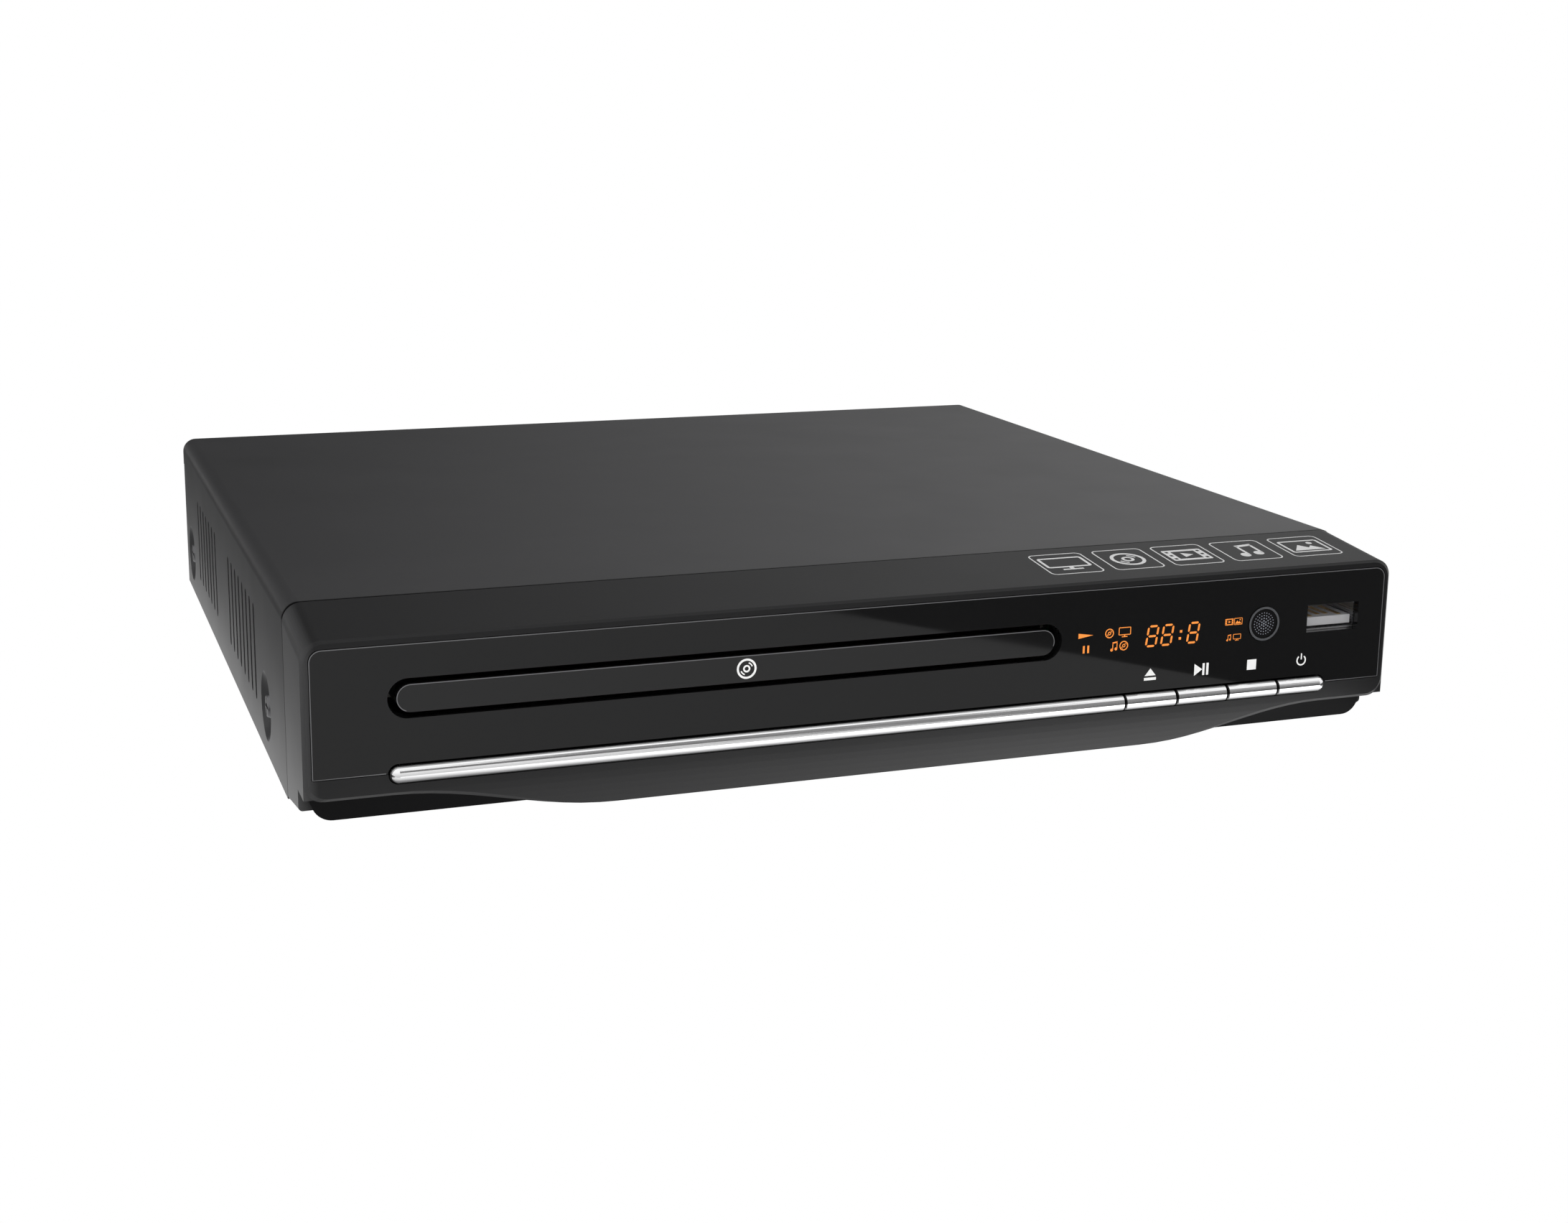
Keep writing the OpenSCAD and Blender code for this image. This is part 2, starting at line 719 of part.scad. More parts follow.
module display_module() {
    color("#141415") slab(display_x0, display_x1, front_y + lens_t + 0.1, front_pcb_y,
        display_z - display_h / 2, display_z + display_h / 2);
}

module ir_receiver() {
    color("#1a1a22") union() {
        slab(sensor_x - 2.8, sensor_x + 2.8, front_pcb_y - 3.4, front_pcb_y,
            sensor_z - 3.5, sensor_z + 3.5);
        translate([sensor_x, front_pcb_y - 3.4, sensor_z]) sphere(2.3);
    }
}

switch_w = 6;
switch_h = 4;
switch_d = 3.4;
module tact_switches() {
    color("#3a3a3c") for (i = [0:3]) {
        slab(button_xc(i) - switch_w / 2, button_xc(i) + switch_w / 2,
            front_pcb_y - switch_d, front_pcb_y, bar_zc - switch_h / 2, bar_zc + switch_h / 2);
        rod_y(button_xc(i), wall_y + 0.9 + button_travel + 0.2, front_pcb_y - switch_d + eps,
            bar_zc, 1.7);
    }
}

usb_l = 14;
usb_wall = 0.35;
module usb_shell() {
    color("#b9babc") difference() {
        front_prism(front_y + lens_t + 0.1, front_y + usb_l) translate([usb_x, usb_z])
            square([usb_w, usb_h], center = true);
        front_prism(front_y - 1, front_y + usb_l - usb_wall) translate([usb_x, usb_z])
            square([usb_w - 2 * usb_wall, usb_h - 2 * usb_wall], center = true);
    }
}

module usb_tongue() {
    z0 = usb_z - usb_h / 2 + usb_wall;
    color("#ece6d2") union() {
        slab(usb_x - 5.6, usb_x + 5.6, front_y + 2, front_y + usb_l - 2, z0 + 0.5, z0 + 2.3);
        slab(usb_x - usb_w / 2 + usb_wall, usb_x + usb_w / 2 - usb_wall,
            front_y + usb_l - 2.4, front_y + usb_l - usb_wall, z0, z0 + usb_h - 2 * usb_wall);
    }
}

// ---- Tray ----

// Two tabs that hold the door in the tray
tab_x = 40;
tab_hw = 6;
tab_l = 3;
tab_t = 1.4;
tab_z0 = tray_z0 + 1;

module tray_door() {
    color("#1b1b1c") union() {
        front_prism(front_y, front_y + door_t) translate([tray_x, slot_zc])
            stadium(door_w, door_h);
        for (s = [-1, 1]) slab(tray_x + s * tab_x - tab_hw, tray_x + s * tab_x + tab_hw,
            front_y + door_t - eps, tray_y0 + tab_l, tab_z0, tab_z0 + tab_t);
    }
}

rack_teeth = ceil((tray_travel + 14) / (PI * rack_m));
rack_n0 = -3;
rack_y0 = tray_gear_y + rack_n0 * PI * rack_m;
tail_y = disc_y + well_r;

module disc_tray() {
    color("#242426") union() {
        difference() {
            translate([0, 0, tray_z0]) linear_extrude(tray_h)
                round_rect(tray_x - tray_hw, tray_x + tray_hw, tray_y0, tray_y1, 3);
            rod_z(tray_x, disc_y, well_z, top_z, well_r);
            rod_z(tray_x, disc_y, well_z - small_well_deep, top_z, small_well_r);
            rod_z(tray_x, disc_y, 0, top_z, window_half_w + 1.5);
            slab(tray_x - window_half_w, tray_x + window_half_w, disc_y, tray_y1 + 1, 0, top_z);
            for (s = [-1, 1]) {
                translate([tray_x + s * 43, tray_y0 + 20, well_z - small_well_deep])
                    cylinder(r = 13, h = tray_h);
                slab(tray_x + s * 40 - 19, tray_x + s * 40 + 19, tail_y + 3, tray_y1 - 4,
                    well_z - 1.2, top_z);
                slab(tray_x + s * tab_x - tab_hw - fit_gap, tray_x + s * tab_x + tab_hw + fit_gap,
                    tray_y0 - 1, tray_y0 + tab_l + fit_gap, tab_z0 - 0.1, tab_z0 + tab_t + 0.1);
            }
            slab(tray_x - tray_hw + 4, tray_x + tray_hw - 4, tray_y0 + 4, tray_y1 + 1,
                tray_z0 - 1, floor_z);
            slab(rack_x - ded_k * rack_m, tray_x + tray_hw + 1, rack_y0 - 4, tray_y1 + 1,
                tray_z0 - 1, rack_z1);
        }
        translate([rack_x, tray_gear_y, tray_z0 + 0.1])
            rack(rack_m, rack_n0, rack_n0 + rack_teeth, rack_z1 - tray_z0 - 0.1 + eps,
                ded_k * rack_m + 0.4);
    }
}

// ---- Loader ----

module loader_frame() {
    color("#e4e2dc") difference() {
        union() {
            slab(tray_x - frame_hw, tray_x + frame_hw, frame_y0, frame_y1, frame_z, frame_z + frame_t);
            slab(tray_x + frame_hw - eps, wing_x1, frame_y0 + 8, motor_y + motor_r + 4,
                frame_z, frame_z + frame_t);
            for (s = [-1, 1]) {
                slab(s > 0 ? tray_x + guide_hw : tray_x - frame_hw,
                    s > 0 ? tray_x + frame_hw : tray_x - guide_hw,
                    frame_y0, frame_y1, frame_z, frame_top_z);
                slab(s > 0 ? tray_x + tray_hw - 3.4 : tray_x - guide_hw - eps,
                    s > 0 ? tray_x + guide_hw + eps : tray_x - tray_hw + 3.4,
                    frame_y0, frame_y1, tray_z0 - tray_gap - 1.5, tray_z0 - tray_gap);
                for (y = [frame_y0 + 6, disc_y + 30, frame_y1 - 18])
                    slab(s > 0 ? tray_x + tray_hw - 2.2 : tray_x - guide_hw - eps,
                        s > 0 ? tray_x + guide_hw + eps : tray_x - tray_hw + 2.2,
                        y, y + 8, tray_z1 + tray_gap, frame_top_z);
                slab(s > 0 ? tray_x + well_hw : tray_x - well_hw - 4.6,
                    s > 0 ? tray_x + well_hw + 4.6 : tray_x - well_hw,
                    pivot_y - 5, pivot_y + 5, frame_z, pivot_z + 4.6);
            }
            slab(tray_x - frame_hw, tray_x + frame_hw, frame_y1 - 2, frame_y1,
                frame_z, tray_z0 - 1);
            for (s = [-1, 1], y = leg_y)
                rod_z(tray_x + s * leg_x, y, pan_z, frame_z + eps, 4);
            rod_z(pulley_x, motor_y, frame_z, pulley_z - 0.5, motor_r + 2.4);
            rod_z(pulley_x, pulley_y, frame_z, pulley_z - 0.3, post_r + 1.2);
            rod_z(pulley_x, pulley_y, frame_z, wheel_z + wheel_t + 0.8, post_r);
            rod_z(tray_gear_x, tray_gear_y, frame_z, wheel_z - 0.3, post_r + 1.2);
        }
        slab(tray_x - well_hw, tray_x + well_hw, bay_y0, pivot_y + 7, frame_z - 1, pivot_z + 9);
        slab(tray_x - cam_x0 - 2, tray_x + cam_x1 + 2, bay_y0, bay_y0 + cam_t + 0.6,
            frame_z - 1, frame_z + frame_t + 1);
        for (s = [-1, 1]) rod_x(tray_x + s * (well_hw + 2.3) - 3, tray_x + s * (well_hw + 2.3) + 3,
            pivot_y, pivot_z, pivot_r + run_gap);
        for (s = [-1, 1], y = leg_y) rod_z(tray_x + s * leg_x, y, 0, top_z, screw_r);
        for (s = [-1, 1], y = leg_y)
            rod_z(tray_x + s * leg_x, y, frame_z + frame_t, tray_z1, 3.4);
        for (s = [-1, 1], y = dish_y) rod_x(s * screw_mid - screw_l, s * screw_mid + screw_l,
            seam_y + y, dish_z, screw_r + screw_gap);
        rod_z(pulley_x, motor_y, 0, pulley_z - 1.3, motor_r + 0.1);
        rod_z(pulley_x, motor_y, 0, top_z, 3.2);
        difference() {
            rod_z(tray_gear_x, tray_gear_y, wheel_z - 0.3, wheel_z + wheel_t + 0.6,
                wheel_r + train_m + 0.8);
            rod_z(tray_gear_x, tray_gear_y, 0, top_z, post_r);
        }
        rod_z(tray_gear_x, tray_gear_y, wheel_z + wheel_t, rack_z1 + 0.4,
            tray_pinion_r + rack_m + 0.8);
    }
    color("#e4e2dc") rod_z(tray_gear_x, tray_gear_y, wheel_z - 0.4, gear_z + gear_t + 0.5, post_r);
}

module loading_motor() {
    z1 = pulley_z - 1.3;
    color("#a9acb0") union() {
        rod_z(pulley_x, motor_y, z1 - motor_h, z1, motor_r);
        rod_z(pulley_x, motor_y, z1 - eps, z1 + 0.8, 2.9);
    }
}

module motor_pulley() {
    color("#f2f0ea") union() {
        belt_pulley(pulley_x, motor_y, motor_pulley_r);
        rod_z(pulley_x, motor_y, pulley_z - 0.4, pulley_z + eps, 1);
    }
}

// Pulley with a groove for the square belt
module belt_pulley(x, y, r) {
    groove = r - belt_t / 2 - 0.08;
    rim = r + belt_t / 2 + 0.5;
    side = (pulley_t - belt_t) / 2 - 0.15;
    translate([x, y, pulley_z]) rotate_extrude() polygon([[0, 0], [rim, 0], [rim, side - 0.4],
        [groove, side], [groove, pulley_t - side], [rim, pulley_t - side + 0.4],
        [rim, pulley_t], [0, pulley_t]]);
}

// Loop round two pulleys, as a flat shape
module belt_loop(ra, rb) {
    tilt = acos((ra - rb) / belt_l);
    circle(ra);
    translate([belt_l, 0]) circle(rb);
    polygon([polar(ra, tilt), polar(ra, -tilt), [belt_l, 0] + polar(rb, -tilt),
        [belt_l, 0] + polar(rb, tilt)]);
}

module loading_belt() {
    color("#151515") translate([pulley_x, pulley_y, pulley_z + (pulley_t - belt_t) / 2])
        rotate(90) linear_extrude(belt_t) difference() {
            belt_loop(pulley_r + belt_t / 2, motor_pulley_r + belt_t / 2);
            belt_loop(pulley_r - belt_t / 2, motor_pulley_r - belt_t / 2);
        }
}

module pulley_gear() {
    color("#f2f0ea") difference() {
        union() {
            belt_pulley(pulley_x, pulley_y, pulley_r);
            rod_z(pulley_x, pulley_y, pulley_z + pulley_t - eps, wheel_z + eps,
                pulley_pinion_r - train_m);
            translate([pulley_x, pulley_y, wheel_z])
                toothed(train_m, pulley_pinion_n, wheel_t,
                    train_deg + 180 + 180 / pulley_pinion_n);
        }
        rod_z(pulley_x, pulley_y, 0, top_z, post_r + run_gap);
        for (i = [0:4]) rotate_about(pulley_x, pulley_y, 72 * i)
            rod_z(pulley_x + pulley_r * 0.66, pulley_y, 0, wheel_z - 0.5, pulley_r * 0.16);
    }
}

module rotate_about(x, y, a) {
    translate([x, y, 0]) rotate(a) translate([-x, -y, 0]) children();
}

module tray_gear() {
    color("#f2f0ea") difference() {
        union() {
            translate([tray_gear_x, tray_gear_y, wheel_z])
                toothed(train_m, wheel_n, wheel_t, train_deg);
            translate([tray_gear_x, tray_gear_y, wheel_z + wheel_t - eps])
                toothed(rack_m, tray_pinion_n, gear_z + gear_t - wheel_z - wheel_t, 180);
        }
        rod_z(tray_gear_x, tray_gear_y, 0, top_z, post_r + run_gap);
    }
}

cam_x0 = 46;
cam_x1 = 50;
cam_low_z = pivot_z - (deck_front + 4.5 + pivot_l) * sin(lower_deg);
cam_wall = 1.4;

module cam_slider() {
    rise = pivot_z - cam_low_z;
    slope = atan2(rise, cam_travel);
    run = sqrt(rise * rise + cam_travel * cam_travel);
    z0 = cam_low_z - cam_pin_r - cam_clear - cam_wall;
    color("#dcd9cf") difference() {
        front_prism(disc_y + cam_y, disc_y + cam_y + cam_t)
            round_rect(tray_x - cam_x0 + cam_travel, tray_x + cam_x1,
                z0, pivot_z + cam_pin_r + cam_clear + cam_wall, 1.5);
        for (s = [-1, 1]) front_prism(disc_y + cam_y - 1, disc_y + cam_y + cam_t + 1)
            translate([tray_x + s * cam_pin_x, cam_low_z]) rotate(slope) {
                translate([0, -cam_pin_r - cam_clear]) square([run, 2 * (cam_pin_r + cam_clear)]);
                circle(cam_pin_r + cam_clear);
                translate([run, 0]) circle(cam_pin_r + cam_clear);
            }
    }
}

rail_blocks = [-13, pickup_in + pickup_travel + 24];
window_y = [15, rail_blocks[1] - 4];
block_l = 4;

module traverse_deck() {
    color("#26272a") lowered() difference() {
        union() {
            slab(-deck_half_w, deck_half_w, -deck_front, pivot_l + 4, deck_z0, deck_z1);
            for (s = [-1, 1]) {
                slab(s > 0 ? deck_half_w - deck_edge : -deck_half_w,
                    s > 0 ? deck_half_w : deck_edge - deck_half_w,
                    -deck_front, pivot_l + 4, deck_z1 - eps, deck_z1 + 2);
                for (y = rail_blocks) slab(s * rail_x - 3, s * rail_x + 3, y, y + block_l,
                    deck_z1 - eps, rail_z + 2.3);
                rod_x(s > 0 ? deck_half_w - eps : -deck_half_w - pin_l,
                    s > 0 ? deck_half_w + pin_l : eps - deck_half_w, pivot_l, pivot_z, pivot_r);
                rod_y(s * cam_pin_x, -deck_front - 5.2, eps - deck_front, pivot_z, cam_pin_r);
                slab(s * cam_pin_x - 3, s * cam_pin_x + 3, -deck_front, -deck_front + 3,
                    deck_z0, pivot_z + 2.2);
                slab(s > 0 ? deck_half_w - 3 : -deck_half_w, s > 0 ? deck_half_w : 3 - deck_half_w,
                    pivot_l - 3.6, pivot_l + 3.6, deck_z0 - 1.2, pivot_z + 2.8);
            }
            rod_z(sled_gear_x, sled_gear_y, deck_z1 - eps, rail_z + 2.3, 1);
            rod_z(sled_gear_x, sled_gear_y, deck_z1 - eps, deck_z1 + 0.3, 2.2);
        }
        slab(-deck_window, deck_window, window_y[0], window_y[1], deck_z0 - 1, deck_z1 + 1);
        for (s = [-1, 1], y = rail_blocks)
            rod_y(s * rail_x, y + (y < 0 ? 1 : -1), y + block_l + (y < 0 ? 1 : -1), rail_z,
                rail_r + run_gap / 2);
        rod_z(sled_gear_x, sled_gear_y + sled_centre, deck_z0 - 1, deck_z1 + 1, 2.4);
        rod_z(0, 0, deck_z0 - 1, deck_z1 + 1, 5.1);
    }
}

sled_centre = fine_m * (fine_n + sled_pinion_n) / 2;

module spindle_motor() {
    color("#b4b6b8") lowered() difference() {
        union() {
            rod_z(0, 0, deck_z1, deck_z1 + spindle_h, spindle_r);
            rod_z(0, 0, deck_z0 - 0.6, deck_z1 + eps, 5);
        }
        rod_z(0, 0, deck_z1 + 0.6, deck_z1 + spindle_h + 1, shaft_r + run_gap);
    }
}

pad_t = 0.6;
module turntable() {
    color("#202022") lowered() union() {
        rod_z(0, 0, deck_z1 + 1, seat_z - pad_t - table_t + eps, shaft_r);
        rod_z(0, 0, deck_z1 + spindle_h + 0.2, seat_z - pad_t - table_t + eps, 3);
        rod_z(0, 0, seat_z - pad_t - table_t, seat_z - pad_t, table_r);
        translate([0, 0, seat_z - pad_t - eps]) rotate_extrude()
            polygon([[0, 0], [hub_r, 0], [hub_r, pad_t + 0.6], [hub_r - 1.6, pad_t + hub_h],
                [2.2, pad_t + hub_h], [1.6, pad_t + hub_h - 0.6], [0, pad_t + hub_h - 0.6]]);
    }
}

module turntable_pad() {
    color("#0f0f0f") lowered() difference() {
        rod_z(0, 0, seat_z - pad_t, seat_z, table_r - 0.3);
        rod_z(0, 0, seat_z - pad_t - 1, seat_z + 1, table_r - 3.4);
    }
}

module guide_rails() {
    color("#c8cacc") lowered() for (s = [-1, 1])
        rod_y(s * rail_x, rail_blocks[0] + 1.2, rail_blocks[1] + block_l - 1.2, rail_z, rail_r);
}

pickup_hl = 12;
module optical_pickup() {
    c = pickup_in;
    color("#3c3d40") lowered() difference() {
        union() {
            slab(-pickup_hw, pickup_hw, c - pickup_hl, c + pickup_hl, rail_z - 1.9, rail_z + 2.9);
            slab(-9, 9, c - 7.5, c + 7.5, rail_z + 2.9 - eps, rail_z + 4.6);
            slab(pickup_hw - eps, sled_rack_x - ded_k * sled_m, c - pickup_hl, c + pickup_hl,
                rail_z + 0.1, rail_z + 1.7);
            translate([sled_rack_x, sled_gear_y, rail_z + 0.1])
                rack(sled_m, -ceil(pickup_travel / (PI * sled_m)) - 1, 2, 1.6,
                    sled_rack_x - pickup_hw - 0.3);
        }
        for (s = [-1, 1])
            rod_y(s * rail_x, c - pickup_hl - 1, c + pickup_hl + 1, rail_z, rail_r + run_gap);
        rod_z(0, c, rail_z + 3.2, rail_z + 6, 3.4);
    }
}

module pickup_lens() {
    color("#8fb7c8") lowered() translate([0, pickup_in, rail_z + 3.2]) rotate_extrude()
        polygon([[0, 0], [3, 0], [3, 1.9], [2.6, 2.3], [1.8, 2.6], [0.9, 2.75], [0, 2.8]]);
}

module sled_motor() {
    color("#a9acb0") lowered() union() {
        rod_z(sled_gear_x, sled_gear_y + sled_centre, deck_z0 - 7, deck_z0, 6);
        rod_z(sled_gear_x, sled_gear_y + sled_centre, deck_z0 - eps, deck_z1 + 0.1, 2.2);
    }
}

module sled_pinion() {
    color("#f2f0ea") lowered() translate([sled_gear_x, sled_gear_y + sled_centre, deck_z1 + 0.3])
        toothed(fine_m, sled_pinion_n, 1.6, 270 + 180 / sled_pinion_n);
}

module sled_gear() {
    color("#f2f0ea") lowered() translate([sled_gear_x, sled_gear_y, 0]) difference() {
        union() {
            translate([0, 0, deck_z1 + 0.4]) toothed(fine_m, fine_n, 1.5, 90);
            translate([0, 0, deck_z1 + 0.4]) cylinder(r = 4, h = 2.4);
            translate([0, 0, rail_z + 0.1]) toothed(sled_m, sled_n, 1.6, 180);
        }
        cylinder(r = 1 + run_gap, h = top_z);
    }
}

// ---- Clamp ----

module clamp_bridge() {
    span = guide_hw + frame_wall;
    color("#9b9ea1") difference() {
        union() {
            slab(tray_x - span, tray_x + span, disc_y - bridge_half_l, disc_y + bridge_half_l,
                bridge_z, bridge_z + bridge_t);
            for (s = [-1, 1]) {
                slab(s > 0 ? tray_x + guide_hw : tray_x - span,
                    s > 0 ? tray_x + span : tray_x - guide_hw,
                    disc_y - bridge_half_l, disc_y + bridge_half_l, frame_top_z, bridge_z + eps);
                slab(tray_x - span, tray_x + span,
                    s > 0 ? disc_y + bridge_half_l - bridge_t : disc_y - bridge_half_l,
                    s > 0 ? disc_y + bridge_half_l : disc_y - bridge_half_l + bridge_t,
                    bridge_z, bridge_z + 3);
            }
        }
        rod_z(tray_x, disc_y, 0, top_z, neck_r + 0.6);
        for (s = [-1, 1]) slab(tray_x + s * 40 - 14, tray_x + s * 40 + 14, disc_y - 9, disc_y + 9,
            bridge_z - 1, bridge_z + bridge_t + 1);
    }
}

module clamp_puck() {
    color("#dedbd2") difference() {
        union() {
            rod_z(tray_x, disc_y, puck_z0, puck_z0 + puck_h, puck_r);
            rod_z(tray_x, disc_y, puck_z0 + puck_h - eps, bridge_z + bridge_t + 0.3, neck_r);
        }
        rod_z(tray_x, disc_y, puck_z0 - 1, puck_z0 + 2, hub_r + 1);
        difference() {
            rod_z(tray_x, disc_y, puck_z0 - 1, puck_z0 + 0.5, puck_r - 3.5);
            rod_z(tray_x, disc_y, puck_z0 - 2, puck_z0 + 1, hub_r + 2);
        }
    }
}

module clamp_plate() {
    color("#b9bbbd") difference() {
        rod_z(tray_x, disc_y, bridge_z + bridge_t + 0.3, bridge_z + bridge_t + 1.3, neck_r + 2.4);
        for (i = [0:2]) rotate_about(tray_x, disc_y, 120 * i)
            rod_z(tray_x + 7, disc_y, 0, top_z, 1.5);
    }
}

// ---- Boards and connectors ----

main_x0 = wing_x1 + 2;
main_x1 = pan_half_w - 2.4;
main_y0 = seam_y + 3;
main_l = 94;
main_y1 = main_y0 + main_l;
power_x0 = tray_x + frame_hw + 4;
power_y0 = main_y1 + 10;
power_y1 = panel_y0 - 1;
av_x0 = 15.5 - half_w;
av_x1 = power_x0 - 7.2;
av_y0 = frame_y1 + 2.5;
board_z1 = pcb_z + pcb_t;

// Posts of the base pan under the boards
post_spots = [[half_w - 8, main_y0 + 3.6], [half_w - 8, main_y1 - 4.4], [main_x0 + 4, main_y1 - 4.4],
    [half_w - 8, power_y0 + 3.6], [power_x0 + 1.8, panel_y0 - 12.8], [av_x0 + 5, av_y0 + 4.6],
    [av_x0 + 5, panel_y0 - 5.8], [av_x1 - 3, panel_y0 - 5.8]];

// Plugs, capacitors and chips of the main board: distance in from its edges, place and size
plug_in = 2;
plug_w = 5;
plug_l = 11;
plug_h = 6;
plug_y = [62, 76];
can_in = 6;
can_r = 3;
can_h = 8;
can_y = 34;
can_pitch = 12;
chip_in = 12;
chip_y = 40;
chip_l = 22;
chip_h = 1.4;
memory_y = 68;
memory_w = 10;
memory_l = 18;
driver_y = 22;
driver_l = 10;
driver_inset = 2;
chip_gap = 0.9;
chip_x0 = main_x0 + chip_in;
chip_x1 = main_x1 - can_in - can_r - chip_gap;

module main_pcb() {
    color("#2c6e3f") union() {
        slab(main_x0, main_x1, main_y0, main_y1, pcb_z, board_z1);
        for (y = plug_y) slab(main_x0 + plug_in, main_x0 + plug_in + plug_w,
            main_y0 + y, main_y0 + y + plug_l, board_z1 - eps, board_z1 + plug_h);
        for (i = [0:3]) rod_z(main_x1 - can_in, main_y0 + can_y + can_pitch * i,
            board_z1 - eps, board_z1 + can_h, can_r);
    }
}

module decoder_chips() {
    color("#191a1c") {
        slab(chip_x0, chip_x1, main_y0 + chip_y, main_y0 + chip_y + chip_l,
            board_z1, board_z1 + chip_h);
        slab(chip_x0, chip_x0 + memory_w, main_y0 + memory_y, main_y0 + memory_y + memory_l,
            board_z1, board_z1 + chip_h);
        slab(chip_x0 + driver_inset, chip_x1 - 2 * driver_inset, main_y0 + driver_y,
            main_y0 + driver_y + driver_l, board_z1, board_z1 + chip_h);
    }
}

// Power board: smoothing capacitors, line filter, plug, transformer and heat sink
smooth_r = 5;
smooth_h = 14;
smooth_in = 10;
filter_w = 7;
filter_l = 16;
filter_h = 10;
filter_in = 5;
filter_y = 22;
feed_in = 4;
feed_w = 9;
feed_l = 6;
core_in = 30.7;
core_y = 12;
core_hw = 12;
core_hl = 9;
core_h = 18;
core_t = 4;
coil_r = 7.4;
sink_in = 43.7;
sink_y = 26;
sink_w = 22;
sink_l = 7;
sink_t = 2;
sink_h = 20;
fin_t = 1.6;
fin_n = 6;
fin_pitch = (sink_w - fin_t) / (fin_n - 1);

module power_pcb() {
    color("#b8925a") union() {
        slab(power_x0, main_x1, power_y0, power_y1, pcb_z, board_z1);
        for (k = [1, 2]) rod_z(power_x0 + smooth_in, power_y1 - k * 2.8 * smooth_r,
            board_z1 - eps, board_z1 + smooth_h, smooth_r);
        slab(main_x1 - filter_in - filter_w, main_x1 - filter_in, power_y0 + filter_y,
            power_y0 + filter_y + filter_l, board_z1 - eps, board_z1 + filter_h);
        slab(power_x0 + feed_in, power_x0 + feed_in + feed_w, power_y0 + plug_in,
            power_y0 + plug_in + feed_l, board_z1 - eps, board_z1 + plug_h);
    }
}

module power_transformer() {
    x = main_x1 - core_in;
    y = power_y0 + core_y;
    top = board_z1 + core_h;
    color("#4b4a45") union() {
        slab(x - core_hw, x + core_hw, y - core_hl, y + core_hl, board_z1, board_z1 + core_t);
        slab(x - core_hw, x + core_hw, y - core_hl, y + core_hl, top - core_t, top);
        for (s = [-1, 1]) slab(x + s * (core_hw - core_t / 2) - core_t / 2,
            x + s * (core_hw - core_t / 2) + core_t / 2, y - core_hl, y + core_hl,
            board_z1 + core_t - eps, top - core_t + eps);
        rod_z(x, y, board_z1 + core_t - eps, top - core_t + eps, coil_r);
    }
}

module bulk_capacitor() {
    color("#26324d") translate([main_x1 - 10, power_y0 + 10, board_z1]) rotate_extrude()
        polygon([[0, 0], [7.4, 0], [8, 0.6], [8, 2.4], [7.6, 2.8], [8, 3.2], [8, 21.4], [7.4, 22],
            [0, 22]]);
}

module heat_sink() {
    x = main_x1 - sink_in;
    y = power_y0 + sink_y;
    color("#9fa3a6") union() {
        slab(x, x + sink_w, y, y + sink_t, board_z1, board_z1 + sink_h);
        for (i = [0:fin_n - 1]) slab(x + fin_pitch * i, x + fin_pitch * i + fin_t,
            y + sink_t - eps, y + sink_l, board_z1, board_z1 + sink_h);
    }
}

module mains_inlet() {
    color("#121213") difference() {
        union() {
            front_prism(panel_y0 - 16, panel_y1 + 0.2) translate([inlet_x, inlet_z])
                square([inlet_w, inlet_h], center = true);
            front_prism(panel_y1, panel_y1 + 1.6) translate([inlet_x, inlet_z])
                round_rect(-inlet_w / 2 - 1.5, inlet_w / 2 + 1.5, -inlet_h / 2 - 1, inlet_h / 2 + 1, 2);
            slab(inlet_x - 8, inlet_x + 8, panel_y0 - 16, panel_y0 - 6, board_z1,
                inlet_z - inlet_h / 2 + eps);
        }
        front_prism(panel_y0 - 11.5, rear_y + 4) translate([inlet_x, inlet_z])
            stadium(socket_w, socket_h);
    }
    color("#b98f4a") for (s = [-1, 1])
        rod_y(inlet_x + s * 4.3, panel_y0 - 11.6, panel_y0 - 2, inlet_z, 1.2);
}

module av_pcb() {
    color("#2c6e3f") union() {
        slab(av_x0, av_x1, av_y0, panel_y0 - 1, pcb_z, board_z1);
        slab(-54, -42, av_y0 + 2, av_y0 + 9, board_z1 - eps, board_z1 + 1.4);
        for (x = [av_x1 - 12, av_x1 - 5]) rod_z(x, av_y0 + 5, board_z1 - eps, board_z1 + 7, 2.5);
    }
}

jack_d = 11;
block_over = 6.6;
module av_jack_block() {
    color("#161617") difference() {
        union() {
            slab(jack_x0 - jack_pitch / 2, jack_x0 + 2.5 * jack_pitch, panel_y0 - jack_d, panel_y0,
                board_z1, jack_zs[1] + block_over);
            slab(jack_spots[6][0] - jack_pitch / 2, jack_spots[6][0] + jack_pitch / 2,
                panel_y0 - jack_d, panel_y0, board_z1, jack_zs[0] + block_over);
        }
        for (p = jack_spots) rod_y(p[0], panel_y0 - jack_seat, panel_y0 + 1, p[1], jack_collar_r);
    }
}

// Shell of each jack: collar in the block, taper through the panel and a tube outside
module av_jack_shells() {
    color("#d2d3d5") for (p = jack_spots) translate([p[0], panel_y0, p[1]]) rotate([-90, 0, 0])
        rotate_extrude() polygon([[jack_tube_r, -jack_seat], [jack_collar_r, -jack_seat],
            [jack_collar_r, 0], [jack_r, steel_t], [jack_r, steel_t + jack_l],
            [jack_tube_r, steel_t + jack_l]]);
}

module av_jack_inserts() {
    color("#efece2") for (p = jack_spots) difference() {
        rod_y(p[0], panel_y0 - jack_seat, panel_y1 + jack_l - 0.5, p[1], jack_tube_r);
        rod_y(p[0], panel_y0 - jack_seat + 1, panel_y1 + jack_l, p[1], 1.6);
    }
}

